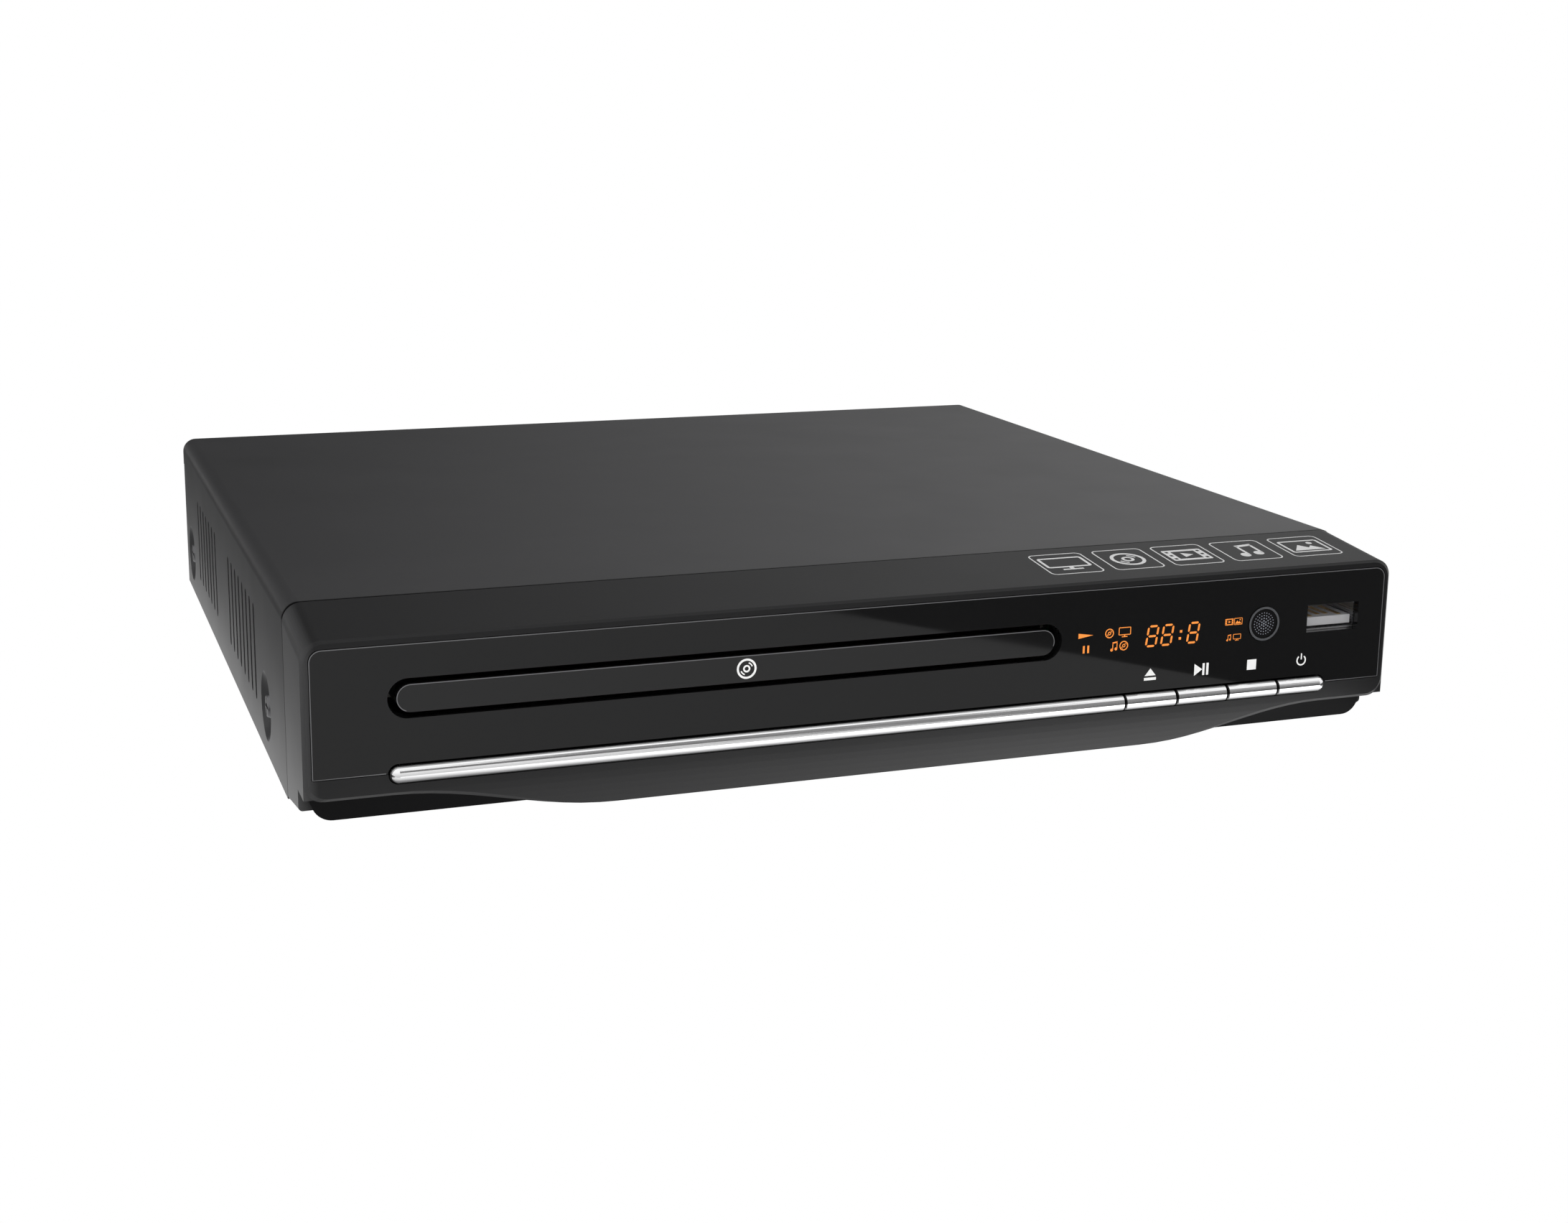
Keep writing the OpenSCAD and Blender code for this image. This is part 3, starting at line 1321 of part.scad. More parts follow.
module hdmi_socket() {
    color("#c4c6c8") union() {
        difference() {
            front_prism(panel_y0 - 10, panel_y1 + 0.4) translate([hdmi_x, hdmi_z])
                square([hdmi_w, hdmi_h], center = true);
            front_prism(panel_y0 - 8, rear_y + 2) translate([hdmi_x, hdmi_z])
                square([hdmi_w - 0.8, hdmi_h - 0.8], center = true);
        }
        slab(hdmi_x - 6, hdmi_x + 6, panel_y0 - 8.1, panel_y0 - 1, hdmi_z - 0.5, hdmi_z + 0.5);
        slab(hdmi_x - 5, hdmi_x + 5, panel_y0 - 9, panel_y0 - 3, board_z1, hdmi_z - hdmi_h / 2 + eps);
    }
}

// ---- Feet, screws and the flat cable ----

module foot(sx, y) {
    color("#101010") translate([sx * foot_x, y, 0]) rotate_extrude() polygon([[0, 0],
        [foot_r - 1.4, 0], [foot_r - 0.6, 0.5], [foot_r, foot_h * 0.7], [foot_r, foot_h], [0, foot_h]]);
}

module foot_front_left() { foot(-1, foot_y[0]); }
module foot_front_right() { foot(1, foot_y[0]); }
module foot_rear_left() { foot(-1, foot_y[1]); }
module foot_rear_right() { foot(1, foot_y[1]); }

head_r = 2.8;
head_t = 1.3;

// Pan-head screw with a cross recess, head at the origin and shank along -Z
module screw(l) {
    difference() {
        union() {
            cylinder(r1 = head_r, r2 = head_r - 0.7, h = head_t);
            translate([0, 0, -l]) cylinder(r = screw_r - 0.1, h = l + eps);
        }
        for (a = [0, 90]) rotate(a) translate([-1.7, -0.35, head_t - 0.8]) cube([3.4, 0.7, 1]);
    }
}

module side_screws() {
    color("#9a9c9e") for (y = dish_y, s = [-1, 1])
        translate([s * (half_w - dish_deep), seam_y + y, dish_z]) rotate([0, 90 * s, 0]) screw(screw_l);
}

module rear_screws() {
    color("#9a9c9e") for (x = rear_screw_x)
        translate([x, rear_y, rear_screw_z]) rotate([-90, 0, 0]) screw(screw_l);
}

module loader_screws() {
    color("#9a9c9e") for (s = [-1, 1], y = leg_y)
        translate([tray_x + s * leg_x, y, frame_z + frame_t]) screw(frame_z + frame_t - base_z);
}

cable_w = 16;
cable_t = 0.4;
module ribbon_cable() {
    y0 = front_pcb_y + pcb_t;
    y1 = main_y0 + 6;
    z0 = board_z1;
    z1 = board_z1 + 6;
    color("#d8d4c8") side_prism(main_x0 + 12, main_x0 + 12 + cable_w)
        polygon([[y0, z1], [y1 - 3, z1], [y1, z1 - 3], [y1, z0], [y1 + cable_t, z0],
            [y1 + cable_t, z1 - 3 + cable_t / 2], [y1 - 3 + cable_t / 2, z1 + cable_t],
            [y0, z1 + cable_t]]);
}

top_cover();
base_pan();
rear_panel();
front_bezel();
front_plinth();
front_lens();
sensor_window();
trim_bar();
eject_button();
play_button();
stop_button();
power_button();
tray_door();
disc_tray();
front_pcb();
display_module();
ir_receiver();
tact_switches();
usb_shell();
usb_tongue();
loader_frame();
loading_motor();
motor_pulley();
loading_belt();
pulley_gear();
tray_gear();
cam_slider();
traverse_deck();
spindle_motor();
turntable();
turntable_pad();
guide_rails();
optical_pickup();
pickup_lens();
sled_motor();
sled_pinion();
sled_gear();
clamp_bridge();
clamp_puck();
clamp_plate();
main_pcb();
decoder_chips();
power_pcb();
power_transformer();
bulk_capacitor();
heat_sink();
av_pcb();
av_jack_block();
av_jack_shells();
av_jack_inserts();
hdmi_socket();
mains_inlet();
foot_front_left();
foot_front_right();
foot_rear_left();
foot_rear_right();
side_screws();
rear_screws();
loader_screws();
ribbon_cable();
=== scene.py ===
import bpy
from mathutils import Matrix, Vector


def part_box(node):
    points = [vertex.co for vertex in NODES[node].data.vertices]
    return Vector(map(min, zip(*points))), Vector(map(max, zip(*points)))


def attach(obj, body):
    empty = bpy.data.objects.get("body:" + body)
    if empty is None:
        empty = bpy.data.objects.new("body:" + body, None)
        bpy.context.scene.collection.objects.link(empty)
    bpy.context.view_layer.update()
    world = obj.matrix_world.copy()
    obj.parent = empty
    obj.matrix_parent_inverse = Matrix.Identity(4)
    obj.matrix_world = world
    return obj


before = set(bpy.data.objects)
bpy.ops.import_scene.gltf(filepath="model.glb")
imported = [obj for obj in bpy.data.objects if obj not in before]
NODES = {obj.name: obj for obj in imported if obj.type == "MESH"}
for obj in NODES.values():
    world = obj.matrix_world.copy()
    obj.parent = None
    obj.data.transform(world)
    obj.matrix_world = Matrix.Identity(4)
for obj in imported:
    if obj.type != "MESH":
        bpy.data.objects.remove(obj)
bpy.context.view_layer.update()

import math

import bmesh
import bpy
from bpy.props import FloatProperty, FloatVectorProperty, PointerProperty
from mathutils import Matrix, Vector
from mathutils.geometry import tessellate_polygon

bl_info = {
    "name": "Disc Player Dressing",
    "version": (1, 0, 0),
    "blender": (4, 5, 0),
    "location": "View3D > Sidebar > Disc Player",
    "description": "Finishes and small details for a compact disc player with a tray",
    "category": "Object",
}

MM = 0.001

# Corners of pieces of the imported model, and planes taken from them, in metres
LENS_LOW, LENS_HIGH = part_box("front_lens")
DOOR_LOW, DOOR_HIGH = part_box("tray_door")
BEZEL_LOW, BEZEL_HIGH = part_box("front_bezel")
BAR_LOW, BAR_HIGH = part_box("trim_bar")
WINDOW_LOW, WINDOW_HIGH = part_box("sensor_window")
PAN_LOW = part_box("base_pan")[0]
FACE_Y = LENS_LOW.y
SEAM_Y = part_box("top_cover")[0].y

FEET = ("foot_front_left", "foot_front_right", "foot_rear_left", "foot_rear_right")
SCREWS = ("side_screws", "rear_screws", "loader_screws")


# ---------------------------------------------------------------- node trees


def node(tree, kind, sockets=None, **options):
    """Adds a shader node, with its options and with values or links on its inputs."""
    made = tree.nodes.new("ShaderNode" + kind)
    for key, value in options.items():
        setattr(made, key, value)
    for key, value in (sockets or {}).items():
        if isinstance(value, bpy.types.NodeSocket):
            tree.links.new(value, made.inputs[key])
        else:
            made.inputs[key].default_value = value
    return made


def effect(name, inputs, outputs):
    """Starts a node group with named inputs and outputs."""
    tree = bpy.data.node_groups.new(name, "ShaderNodeTree")
    for label, kind, default in inputs:
        socket = tree.interface.new_socket(name=label, in_out="INPUT", socket_type=kind)
        socket.default_value = default
    for label, kind in outputs:
        tree.interface.new_socket(name=label, in_out="OUTPUT", socket_type=kind)
    return tree, tree.nodes.new("NodeGroupInput").outputs, tree.nodes.new("NodeGroupOutput").inputs


def place(tree, group, **sockets):
    """Places an effect in a material and gives its inputs their values."""
    made = tree.nodes.new("ShaderNodeGroup")
    made.node_tree = group
    for key, value in sockets.items():
        label = key.replace("_", " ").capitalize()
        if isinstance(value, bpy.types.NodeSocket):
            tree.links.new(value, made.inputs[label])
        else:
            made.inputs[label].default_value = value
    return made.outputs


def noise(tree, vector, scale, detail=2.0, rough=0.5):
    """Smooth noise from 0 to 1."""
    sockets = {"Vector": vector, "Scale": scale, "Detail": detail, "Roughness": rough}
    return node(tree, "TexNoise", sockets).outputs["Fac"]


def maths(tree, operation, a, b=0.0, clamp=False):
    """The result of one operation on two values."""
    return node(tree, "Math", {0: a, 1: b}, operation=operation, use_clamp=clamp).outputs[0]


def spread(tree, value, low, high, to_low=0.0, to_high=1.0):
    """Stretches the values between low and high over another range."""
    sockets = {"Value": value, "From Min": low, "From Max": high, "To Min": to_low, "To Max": to_high}
    return node(tree, "MapRange", sockets).outputs["Result"]


def mix_color(tree, factor, a, b):
    """Colour a where the factor is 0, and b where it is 1."""
    return node(tree, "Mix", {0: factor, 6: a, 7: b}, data_type="RGBA").outputs[2]


def object_place(tree):
    """The place on the part, in metres."""
    return node(tree, "TexCoord").outputs["Object"]


DUST_COLOUR = (0.36, 0.34, 0.31, 1)
BARE_PAD = (0.55, 0.50, 0.40, 1)


def build_tone():
    """Slow and fine changes of a colour over a surface."""
    tree, given, put = effect(
        "Tone",
        [
            ("Colour", "NodeSocketColor", (0.1, 0.1, 0.1, 1)),
            ("Spread", "NodeSocketFloat", 0.1),
            ("Scale", "NodeSocketFloat", 30.0),
        ],
        [("Colour", "NodeSocketColor"), ("Mask", "NodeSocketFloat")],
    )
    where = object_place(tree)
    slow = noise(tree, where, given["Scale"], 3.0, 0.55)
    fine = noise(tree, where, maths(tree, "MULTIPLY", given["Scale"], 23.0), 1.0)
    both = maths(tree, "ADD", maths(tree, "MULTIPLY", slow, 0.7), maths(tree, "MULTIPLY", fine, 0.3))
    mask = spread(tree, both, 0.3, 0.7)
    dark = maths(tree, "SUBTRACT", 1.0, given["Spread"])
    light = maths(tree, "ADD", 1.0, given["Spread"])
    level = node(tree, "MapRange", {"Value": mask, "To Min": dark, "To Max": light}).outputs["Result"]
    scaled = node(tree, "VectorMath", {0: given["Colour"], "Scale": level}, operation="SCALE")
    tree.links.new(scaled.outputs["Vector"], put["Colour"])
    tree.links.new(mask, put["Mask"])
    return tree


def build_grain():
    """Fine moulded or powder-painted grain."""
    tree, given, put = effect(
        "Grain",
        [
            ("Scale", "NodeSocketFloat", 2500.0),
            ("Gloss", "NodeSocketFloat", 0.5),
            ("Change", "NodeSocketFloat", 0.06),
        ],
        [("Height", "NodeSocketFloat"), ("Roughness", "NodeSocketFloat")],
    )
    where = object_place(tree)
    fine = noise(tree, where, given["Scale"], 2.0, 0.6)
    cells = node(tree, "TexVoronoi", {"Vector": where, "Scale": maths(tree, "MULTIPLY", given["Scale"], 0.6)})
    pits = maths(tree, "MULTIPLY", cells.outputs["Distance"], 0.4)
    height = maths(tree, "ADD", maths(tree, "MULTIPLY", fine, 0.6), pits)
    slow = noise(tree, where, 40.0, 2.0)
    shift = maths(tree, "MULTIPLY", maths(tree, "SUBTRACT", slow, 0.5), given["Change"])
    tree.links.new(height, put["Height"])
    tree.links.new(maths(tree, "ADD", given["Gloss"], shift), put["Roughness"])
    return tree


def build_brushing():
    """Streaks along one direction, for drawn, rolled and brushed metal."""
    tree, given, put = effect(
        "Brushing",
        [
            ("Across", "NodeSocketVector", (40.0, 3000.0, 3000.0)),
            ("Gloss", "NodeSocketFloat", 0.3),
            ("Change", "NodeSocketFloat", 0.15),
        ],
        [("Height", "NodeSocketFloat"), ("Roughness", "NodeSocketFloat")],
    )
    where = object_place(tree)
    stretched = node(tree, "VectorMath", {0: where, 1: given["Across"]}, operation="MULTIPLY")
    streak = noise(tree, stretched.outputs["Vector"], 1.0, 3.0, 0.65)
    shift = maths(tree, "MULTIPLY", maths(tree, "SUBTRACT", streak, 0.5), given["Change"])
    tree.links.new(streak, put["Height"])
    tree.links.new(maths(tree, "ADD", given["Gloss"], shift), put["Roughness"])
    return tree


def build_dust():
    """A thin film of dust on what faces up."""
    tree, given, put = effect(
        "Dust",
        [("Colour", "NodeSocketColor", (0.1, 0.1, 0.1, 1)), ("Amount", "NodeSocketFloat", 0.1)],
        [("Colour", "NodeSocketColor")],
    )
    where = object_place(tree)
    normal = node(tree, "NewGeometry").outputs["Normal"]
    upward = node(tree, "SeparateXYZ", {0: normal}).outputs["Z"]
    patch = spread(tree, noise(tree, where, 55.0, 4.0, 0.6), 0.42, 0.68)
    speck = spread(tree, noise(tree, where, 1400.0, 1.0), 0.56, 0.7)
    cover = maths(tree, "MULTIPLY", maths(tree, "ADD", patch, speck, True), spread(tree, upward, 0.3, 0.9))
    mask = maths(tree, "MULTIPLY", cover, given["Amount"], True)
    tree.links.new(mix_color(tree, mask, given["Colour"], DUST_COLOUR), put["Colour"])
    return tree


def build_tracks():
    """Copper tracks, pads and via dots under solder mask."""
    tree, given, put = effect(
        "Tracks",
        [
            ("Board", "NodeSocketColor", (0.02, 0.12, 0.04, 1)),
            ("Track", "NodeSocketColor", (0.05, 0.22, 0.08, 1)),
        ],
        [("Colour", "NodeSocketColor"), ("Pads", "NodeSocketFloat")],
    )
    where = object_place(tree)
    blocks = node(tree, "TexVoronoi", {"Vector": where, "Scale": 170.0}, distance="CHEBYCHEV")
    turned = node(tree, "SeparateXYZ", {0: blocks.outputs["Color"]}).outputs["X"]
    waves = {"Vector": where, "Scale": 190.0, "Distortion": 0.0}
    along_x = node(tree, "TexWave", waves, bands_direction="X")
    along_y = node(tree, "TexWave", waves, bands_direction="Y")
    pick = maths(tree, "GREATER_THAN", turned, 0.5)
    bands = node(tree, "Mix", {0: pick, 2: along_x.outputs["Fac"], 3: along_y.outputs["Fac"]})
    lines = maths(tree, "GREATER_THAN", bands.outputs[0], 0.62)
    dots = node(tree, "TexVoronoi", {"Vector": where, "Scale": 330.0, "Randomness": 0.55})
    pads = maths(tree, "LESS_THAN", dots.outputs["Distance"], 0.19)
    mixed = mix_color(tree, lines, given["Board"], given["Track"])
    tree.links.new(mix_color(tree, pads, mixed, BARE_PAD), put["Colour"])
    tree.links.new(pads, put["Pads"])
    return tree


def build_margin():
    """A second colour near a plane across an axis, or near each of a row of such planes; here it paints shade
    on the cover, bar, buttons and pan, and light on the bezel's side.
    """
    tree, given, put = effect(
        "Margin",
        [
            ("Colour", "NodeSocketColor", (0.1, 0.1, 0.1, 1)),
            ("Margin colour", "NodeSocketColor", (0.0, 0.0, 0.0, 1)),
            ("Axis", "NodeSocketVector", (1.0, 0.0, 0.0)),
            ("Origin", "NodeSocketFloat", 0.0),
            ("Pitch", "NodeSocketFloat", 2.0),
            ("Start", "NodeSocketFloat", 0.001),
            ("End", "NodeSocketFloat", 0.0),
        ],
        [("Colour", "NodeSocketColor")],
    )
    where = object_place(tree)
    along = node(tree, "VectorMath", {0: where, 1: given["Axis"]}, operation="DOT_PRODUCT").outputs["Value"]
    past = maths(tree, "SUBTRACT", along, given["Origin"])
    away = maths(tree, "PINGPONG", past, maths(tree, "MULTIPLY", given["Pitch"], 0.5))
    mask = spread(tree, away, given["Start"], given["End"])
    tree.links.new(mix_color(tree, mask, given["Colour"], given["Margin colour"]), put["Colour"])
    return tree


EFFECTS = {}


def make_effects():
    """Builds each effect once, for all the materials that use it."""
    EFFECTS.update(
        tone=build_tone(),
        grain=build_grain(),
        brushing=build_brushing(),
        dust=build_dust(),
        tracks=build_tracks(),
        margin=build_margin(),
    )


# ----------------------------------------------------------------- materials


def start_material(name, **constants):
    """A material with a Principled shader whose constants are set on its own sockets."""
    made = bpy.data.materials.new(name)
    made.use_nodes = True
    tree = made.node_tree
    tree.nodes.clear()
    shader = node(tree, "BsdfPrincipled", constants)
    output = tree.nodes.new("ShaderNodeOutputMaterial")
    tree.links.new(shader.outputs[0], output.inputs[0])
    return made, tree, shader.inputs


def moulded(name, colour, gloss, grain, depth, shift, dust=0.0, margin=None, **constants):
    """Plastic, paint or rubber with a fine grain."""
    made, tree, shader = start_material(name, **constants)
    tone = place(tree, EFFECTS["tone"], colour=(*colour, 1), spread=shift, scale=35.0)
    shade = tone["Colour"]
    if dust > 0:
        shade = place(tree, EFFECTS["dust"], colour=shade, amount=dust)["Colour"]
    if margin:
        shade = place(tree, EFFECTS["margin"], colour=shade, **margin)["Colour"]
    skin = place(tree, EFFECTS["grain"], scale=grain, gloss=gloss, change=0.08)
    bump = node(tree, "Bump", {"Height": skin["Height"], "Strength": depth, "Distance": 0.0001})
    tree.links.new(shade, shader["Base Color"])
    tree.links.new(skin["Roughness"], shader["Roughness"])
    tree.links.new(bump.outputs[0], shader["Normal"])
    return made


def metal(name, colour, gloss, across, depth, shift, change=0.16, margins=()):
    """Drawn, rolled or plated metal."""
    made, tree, shader = start_material(name, Metallic=1.0)
    shade = place(tree, EFFECTS["tone"], colour=(*colour, 1), spread=shift, scale=60.0)["Colour"]
    for margin in margins:
        shade = place(tree, EFFECTS["margin"], colour=shade, **margin)["Colour"]
    skin = place(tree, EFFECTS["brushing"], across=across, gloss=gloss, change=change)
    bump = node(tree, "Bump", {"Height": skin["Height"], "Strength": depth, "Distance": 0.00005})
    tree.links.new(shade, shader["Base Color"])
    tree.links.new(skin["Roughness"], shader["Roughness"])
    tree.links.new(bump.outputs[0], shader["Normal"])
    return made


def board(name, mask_colour, track_colour):
    """Circuit board: solder mask over tracks, with bare pads."""
    made, tree, shader = start_material(name)
    tracks = place(tree, EFFECTS["tracks"], board=(*mask_colour, 1), track=(*track_colour, 1))
    shade = place(tree, EFFECTS["dust"], colour=tracks["Colour"], amount=0.12)
    tree.links.new(shade["Colour"], shader["Base Color"])
    tree.links.new(spread(tree, tracks["Pads"], 0.0, 1.0, 0.34, 0.22), shader["Roughness"])
    tree.links.new(maths(tree, "MULTIPLY", tracks["Pads"], 0.8), shader["Metallic"])
    bump = node(tree, "Bump", {"Height": tracks["Pads"], "Strength": 0.3, "Distance": 0.0001})
    tree.links.new(bump.outputs[0], shader["Normal"])
    return made


def ink(name, colour, glow):
    """Printed ink, or lit segments where it glows; where print glows, the glow is painted light."""
    made, tree, shader = start_material(name, **{"Emission Strength": glow, "Specular IOR Level": 0.2})
    tone = place(tree, EFFECTS["tone"], colour=(*colour, 1), spread=0.04, scale=900.0)
    tree.links.new(tone["Colour"], shader["Base Color"])
    tree.links.new(tone["Colour"], shader["Emission Color"])
    tree.links.new(spread(tree, tone["Mask"], 0.0, 1.0, 0.42, 0.5), shader["Roughness"])
    return made


JACK_GREEN = (0.02, 0.25, 0.06)
JACK_RED = (0.45, 0.02, 0.02)
JACK_WHITE = (0.75, 0.72, 0.64)
JACK_ORANGE = (0.85, 0.25, 0.02)
JACK_BLUE = (0.03, 0.08, 0.45)
JACK_YELLOW = (0.80, 0.55, 0.03)


def jack_inserts(name):
    """Jack inserts in their usual colours, by column and by row."""
    made, tree, shader = start_material(name + "_colours")
    where = node(tree, "SeparateXYZ", {0: object_place(tree)}).outputs
    corners = NODES["av_jack_inserts"].data.vertices
    xs = [round(corner.co.x, 4) for corner in corners]
    mid_z = sum(corner.co.z for corner in corners) / len(corners)
    column = spread(tree, where["X"], min(xs), max(xs))
    upper = maths(tree, "GREATER_THAN", where["Z"], mid_z)
    top = node(tree, "ValToRGB", {0: column})
    low = node(tree, "ValToRGB", {0: column})
    fill_ramp(top, [(0.0, JACK_GREEN), (0.3, JACK_GREEN), (0.52, JACK_RED), (0.78, JACK_WHITE)])
    fill_ramp(low, [(0.0, JACK_ORANGE), (0.25, JACK_BLUE), (0.52, JACK_YELLOW), (0.78, JACK_RED)])
    shade = mix_color(tree, upper, low.outputs[0], top.outputs[0])
    tone = place(tree, EFFECTS["tone"], colour=shade, spread=0.06, scale=300.0)
    skin = place(tree, EFFECTS["grain"], scale=3000.0, gloss=0.38, change=0.05)
    tree.links.new(tone["Colour"], shader["Base Color"])
    tree.links.new(skin["Roughness"], shader["Roughness"])
    return made


def fill_ramp(ramp, stops):
    """Steps of colour for a colour ramp."""
    ramp.color_ramp.interpolation = "CONSTANT"
    elements = ramp.color_ramp.elements
    while len(elements) < len(stops):
        elements.new(0.5)
    for element, (at, colour) in zip(elements, stops):
        element.position = at
        element.color = (*colour, 1)


def shining(level):
    """The shader constant for how much a surface mirrors."""
    return {"Specular IOR Level": level}


def smooth_skin(name, colour, shine, margin):
    """Smooth paint or plastic whose colour changes near one end of an axis, as painted shade on the cover and
    painted light on the bezel.
    """
    return moulded(name, tuple(colour), 0.38, 4000.0, 0.08, 0.04, margin=margin, **shining(shine))


def smoked(name, gloss, shine):
    """Smoked, polished plastic of the lens and the door."""
    return moulded(name, tuple(settings().lens_colour), gloss, 400.0, 0.0, 0.04, **shining(shine))


def painted_seam_shade():
    """Painted shade: a dark band on the cover where it meets the bezel."""
    return {
        "margin_colour": (0.002, 0.002, 0.002, 1),
        "axis": (0.0, 1.0, 0.0),
        "origin": SEAM_Y,
        "start": 0.5 * MM,
        "end": 0.4 * MM,
    }


def painted_side_light():
    """Painted light: a lighter colour on the left side of the bezel."""
    return {
        "margin_colour": (0.05, 0.05, 0.051, 1),
        "origin": BEZEL_LOW.x,
        "start": 2.6 * MM,
        "end": 0.0,
    }


def cover_paint(name):
    """Paint of the cover, with painted shade in the seam behind the bezel."""
    return smooth_skin(name, settings().cover_colour, 0.2, painted_seam_shade())


def bezel_plastic(name):
    """Plastic of the bezel, with painted light on its left side."""
    return smooth_skin(name, settings().bezel_colour, 0.16, painted_side_light())


def plinth_plastic(name):
    """Dull black plastic of the plinth; its colour is set darker than the bezel's as painted shade for the
    shade it sits in under the front.
    """
    return moulded(name, (0.004, 0.004, 0.0043), 0.5, 3800.0, 0.06, 0.05, **shining(0.06))


def pan_steel(name):
    """Zinc-plated floor of the base pan; its upright walls are darkened with painted shade."""
    # Painted shade: the pan is darker from 3 mm above its floor upwards
    painted_wall_shade = {
        "margin_colour": (0.03, 0.03, 0.032, 1),
        "axis": (0.0, 0.0, 1.0),
        "origin": PAN_LOW.z,
        "start": 2 * MM,
        "end": 3 * MM,
    }
    return metal(name, *ZINC, margins=[painted_wall_shade])


def chrome(name, *margins):
    """Chrome with painted shade that darkens it towards its lower edge, where it faces the apron."""
    height = BAR_HIGH.z - BAR_LOW.z
    painted_lower_shade = {
        "margin_colour": (0.08, 0.08, 0.082, 1),
        "axis": (0.0, 0.0, 1.0),
        "origin": BAR_LOW.z,
        "start": 0.75 * height,
        "end": 0.2 * height,
    }
    across = (25.0, 4500.0, 4500.0)
    return metal(name, (0.93, 0.93, 0.935), 0.13, across, 0.03, 0.02, 0.05, (painted_lower_shade, *margins))


def chrome_button(name):
    """Chrome of the buttons, with painted shade where two of them meet."""
    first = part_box("eject_button")[0].x
    painted_gap_shade = {
        "margin_colour": (0.02, 0.02, 0.02, 1),
        "origin": first,
        "pitch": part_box("play_button")[0].x - first,
        "start": 0.40 * MM,
        "end": 0.33 * MM,
    }
    return chrome(name, painted_gap_shade)


def pickup_glass(name):
    """The coated lens of the pickup."""
    constants = {"Metallic": 0.0, "Transmission Weight": 0.55, "IOR": 1.5, "Coat Weight": 0.6}
    made, tree, shader = start_material(name, **constants)
    tone = place(tree, EFFECTS["tone"], colour=(0.35, 0.55, 0.70, 1), spread=0.12, scale=500.0)
    tree.links.new(tone["Colour"], shader["Base Color"])
    tree.links.new(spread(tree, tone["Mask"], 0.0, 1.0, 0.03, 0.07), shader["Roughness"])
    return made


def lit_ink(name):
    """Lit segments and symbols of the display."""
    return ink(name, tuple(settings().display_colour), 0.35)


# Colour, gloss, grain scale, grain depth, colour shift and dust
PLASTICS = {
    "panel_paint": ((0.018, 0.018, 0.019), 0.5, 3600.0, 0.14, 0.06),
    # Painted highlight: the light grey of the lines along the edges of the lens and the door
    "lens_edge": ((0.11, 0.11, 0.115), 0.3, 2500.0, 0.02, 0.04),
    "insulator_white": ((0.72, 0.66, 0.50), 0.42, 2600.0, 0.05, 0.05),
    "insulator_grey": ((0.46, 0.46, 0.47), 0.42, 2600.0, 0.05, 0.05),
    "tray_black": ((0.016, 0.016, 0.017), 0.5, 2200.0, 0.25, 0.07, 0.04),
    "frame_white": ((0.62, 0.60, 0.55), 0.46, 1800.0, 0.08, 0.06, 0.12),
    "gear_white": ((0.74, 0.72, 0.66), 0.36, 1800.0, 0.05, 0.04),
    "soft_rubber": ((0.014, 0.014, 0.014), 0.78, 1500.0, 0.35, 0.12, 0.1),
    "deck_black": ((0.022, 0.022, 0.024), 0.5, 1600.0, 0.2, 0.1, 0.08),
    "component_black": ((0.013, 0.013, 0.014), 0.48, 1500.0, 0.12, 0.1, 0.1),
    "cap_blue": ((0.012, 0.025, 0.085), 0.28, 900.0, 0.04, 0.06, 0.15),
    "ferrite": ((0.035, 0.033, 0.03), 0.7, 1200.0, 0.3, 0.18, 0.2),
}

# Colour, gloss, streak scale along each axis, streak depth and colour shift
ZINC = ((0.50, 0.51, 0.53), 0.36, (60.0, 2200.0, 2200.0), 0.04, 0.12)
METALS = {
    "zinc_steel": ZINC,
    "bright_steel": ((0.62, 0.62, 0.63), 0.27, (60.0, 60.0, 2400.0), 0.03, 0.05),
    "screw_steel": ((0.14, 0.14, 0.145), 0.4, (900.0, 900.0, 900.0), 0.08, 0.1),
    "gold_contact": ((0.78, 0.52, 0.18), 0.24, (900.0, 60.0, 900.0), 0.03, 0.05),
    "pickup_metal": ((0.20, 0.20, 0.215), 0.46, (900.0, 900.0, 900.0), 0.16, 0.12),
    "heat_sink_alu": ((0.56, 0.57, 0.59), 0.38, (900.0, 900.0, 40.0), 0.05, 0.06),
}

# Colours of the solder mask and of the tracks under it
BOARDS = {
    "pcb_green": ((0.010, 0.085, 0.030), (0.022, 0.15, 0.05)),
    "pcb_tan": ((0.42, 0.24, 0.09), (0.50, 0.31, 0.13)),
}

# Colour and glow
INKS = {
    # The white print glows faintly though it is no lamp: painted light
    "symbol_white": ((0.86, 0.86, 0.85), 0.05),
    "symbol_grey": ((0.50, 0.50, 0.50), 0.0),
    "dot_grey": ((0.19, 0.2, 0.23), 0.0),
    "ring_grey": ((0.065, 0.067, 0.072), 0.0),
}

# Finishes with a maker of their own
MAKERS = {
    "cover_paint": cover_paint,
    "bezel_black": bezel_plastic,
    "plinth_black": plinth_plastic,
    "lens_smoke": lambda name: smoked(name, 0.05, 0.26),
    "door_smoke": lambda name: smoked(name, 0.07, 0.32),
    "pan_steel": pan_steel,
    "chrome_trim": chrome,
    "chrome_button": chrome_button,
    "jack_insert": jack_inserts,
    "display_orange": lit_ink,
    "lens_glass": pickup_glass,
}


FINISHES = {}


def finish(name):
    """The material of a name, built when it is first asked for."""
    if name not in FINISHES:
        FINISHES[name] = build_finish(name)
    return FINISHES[name]


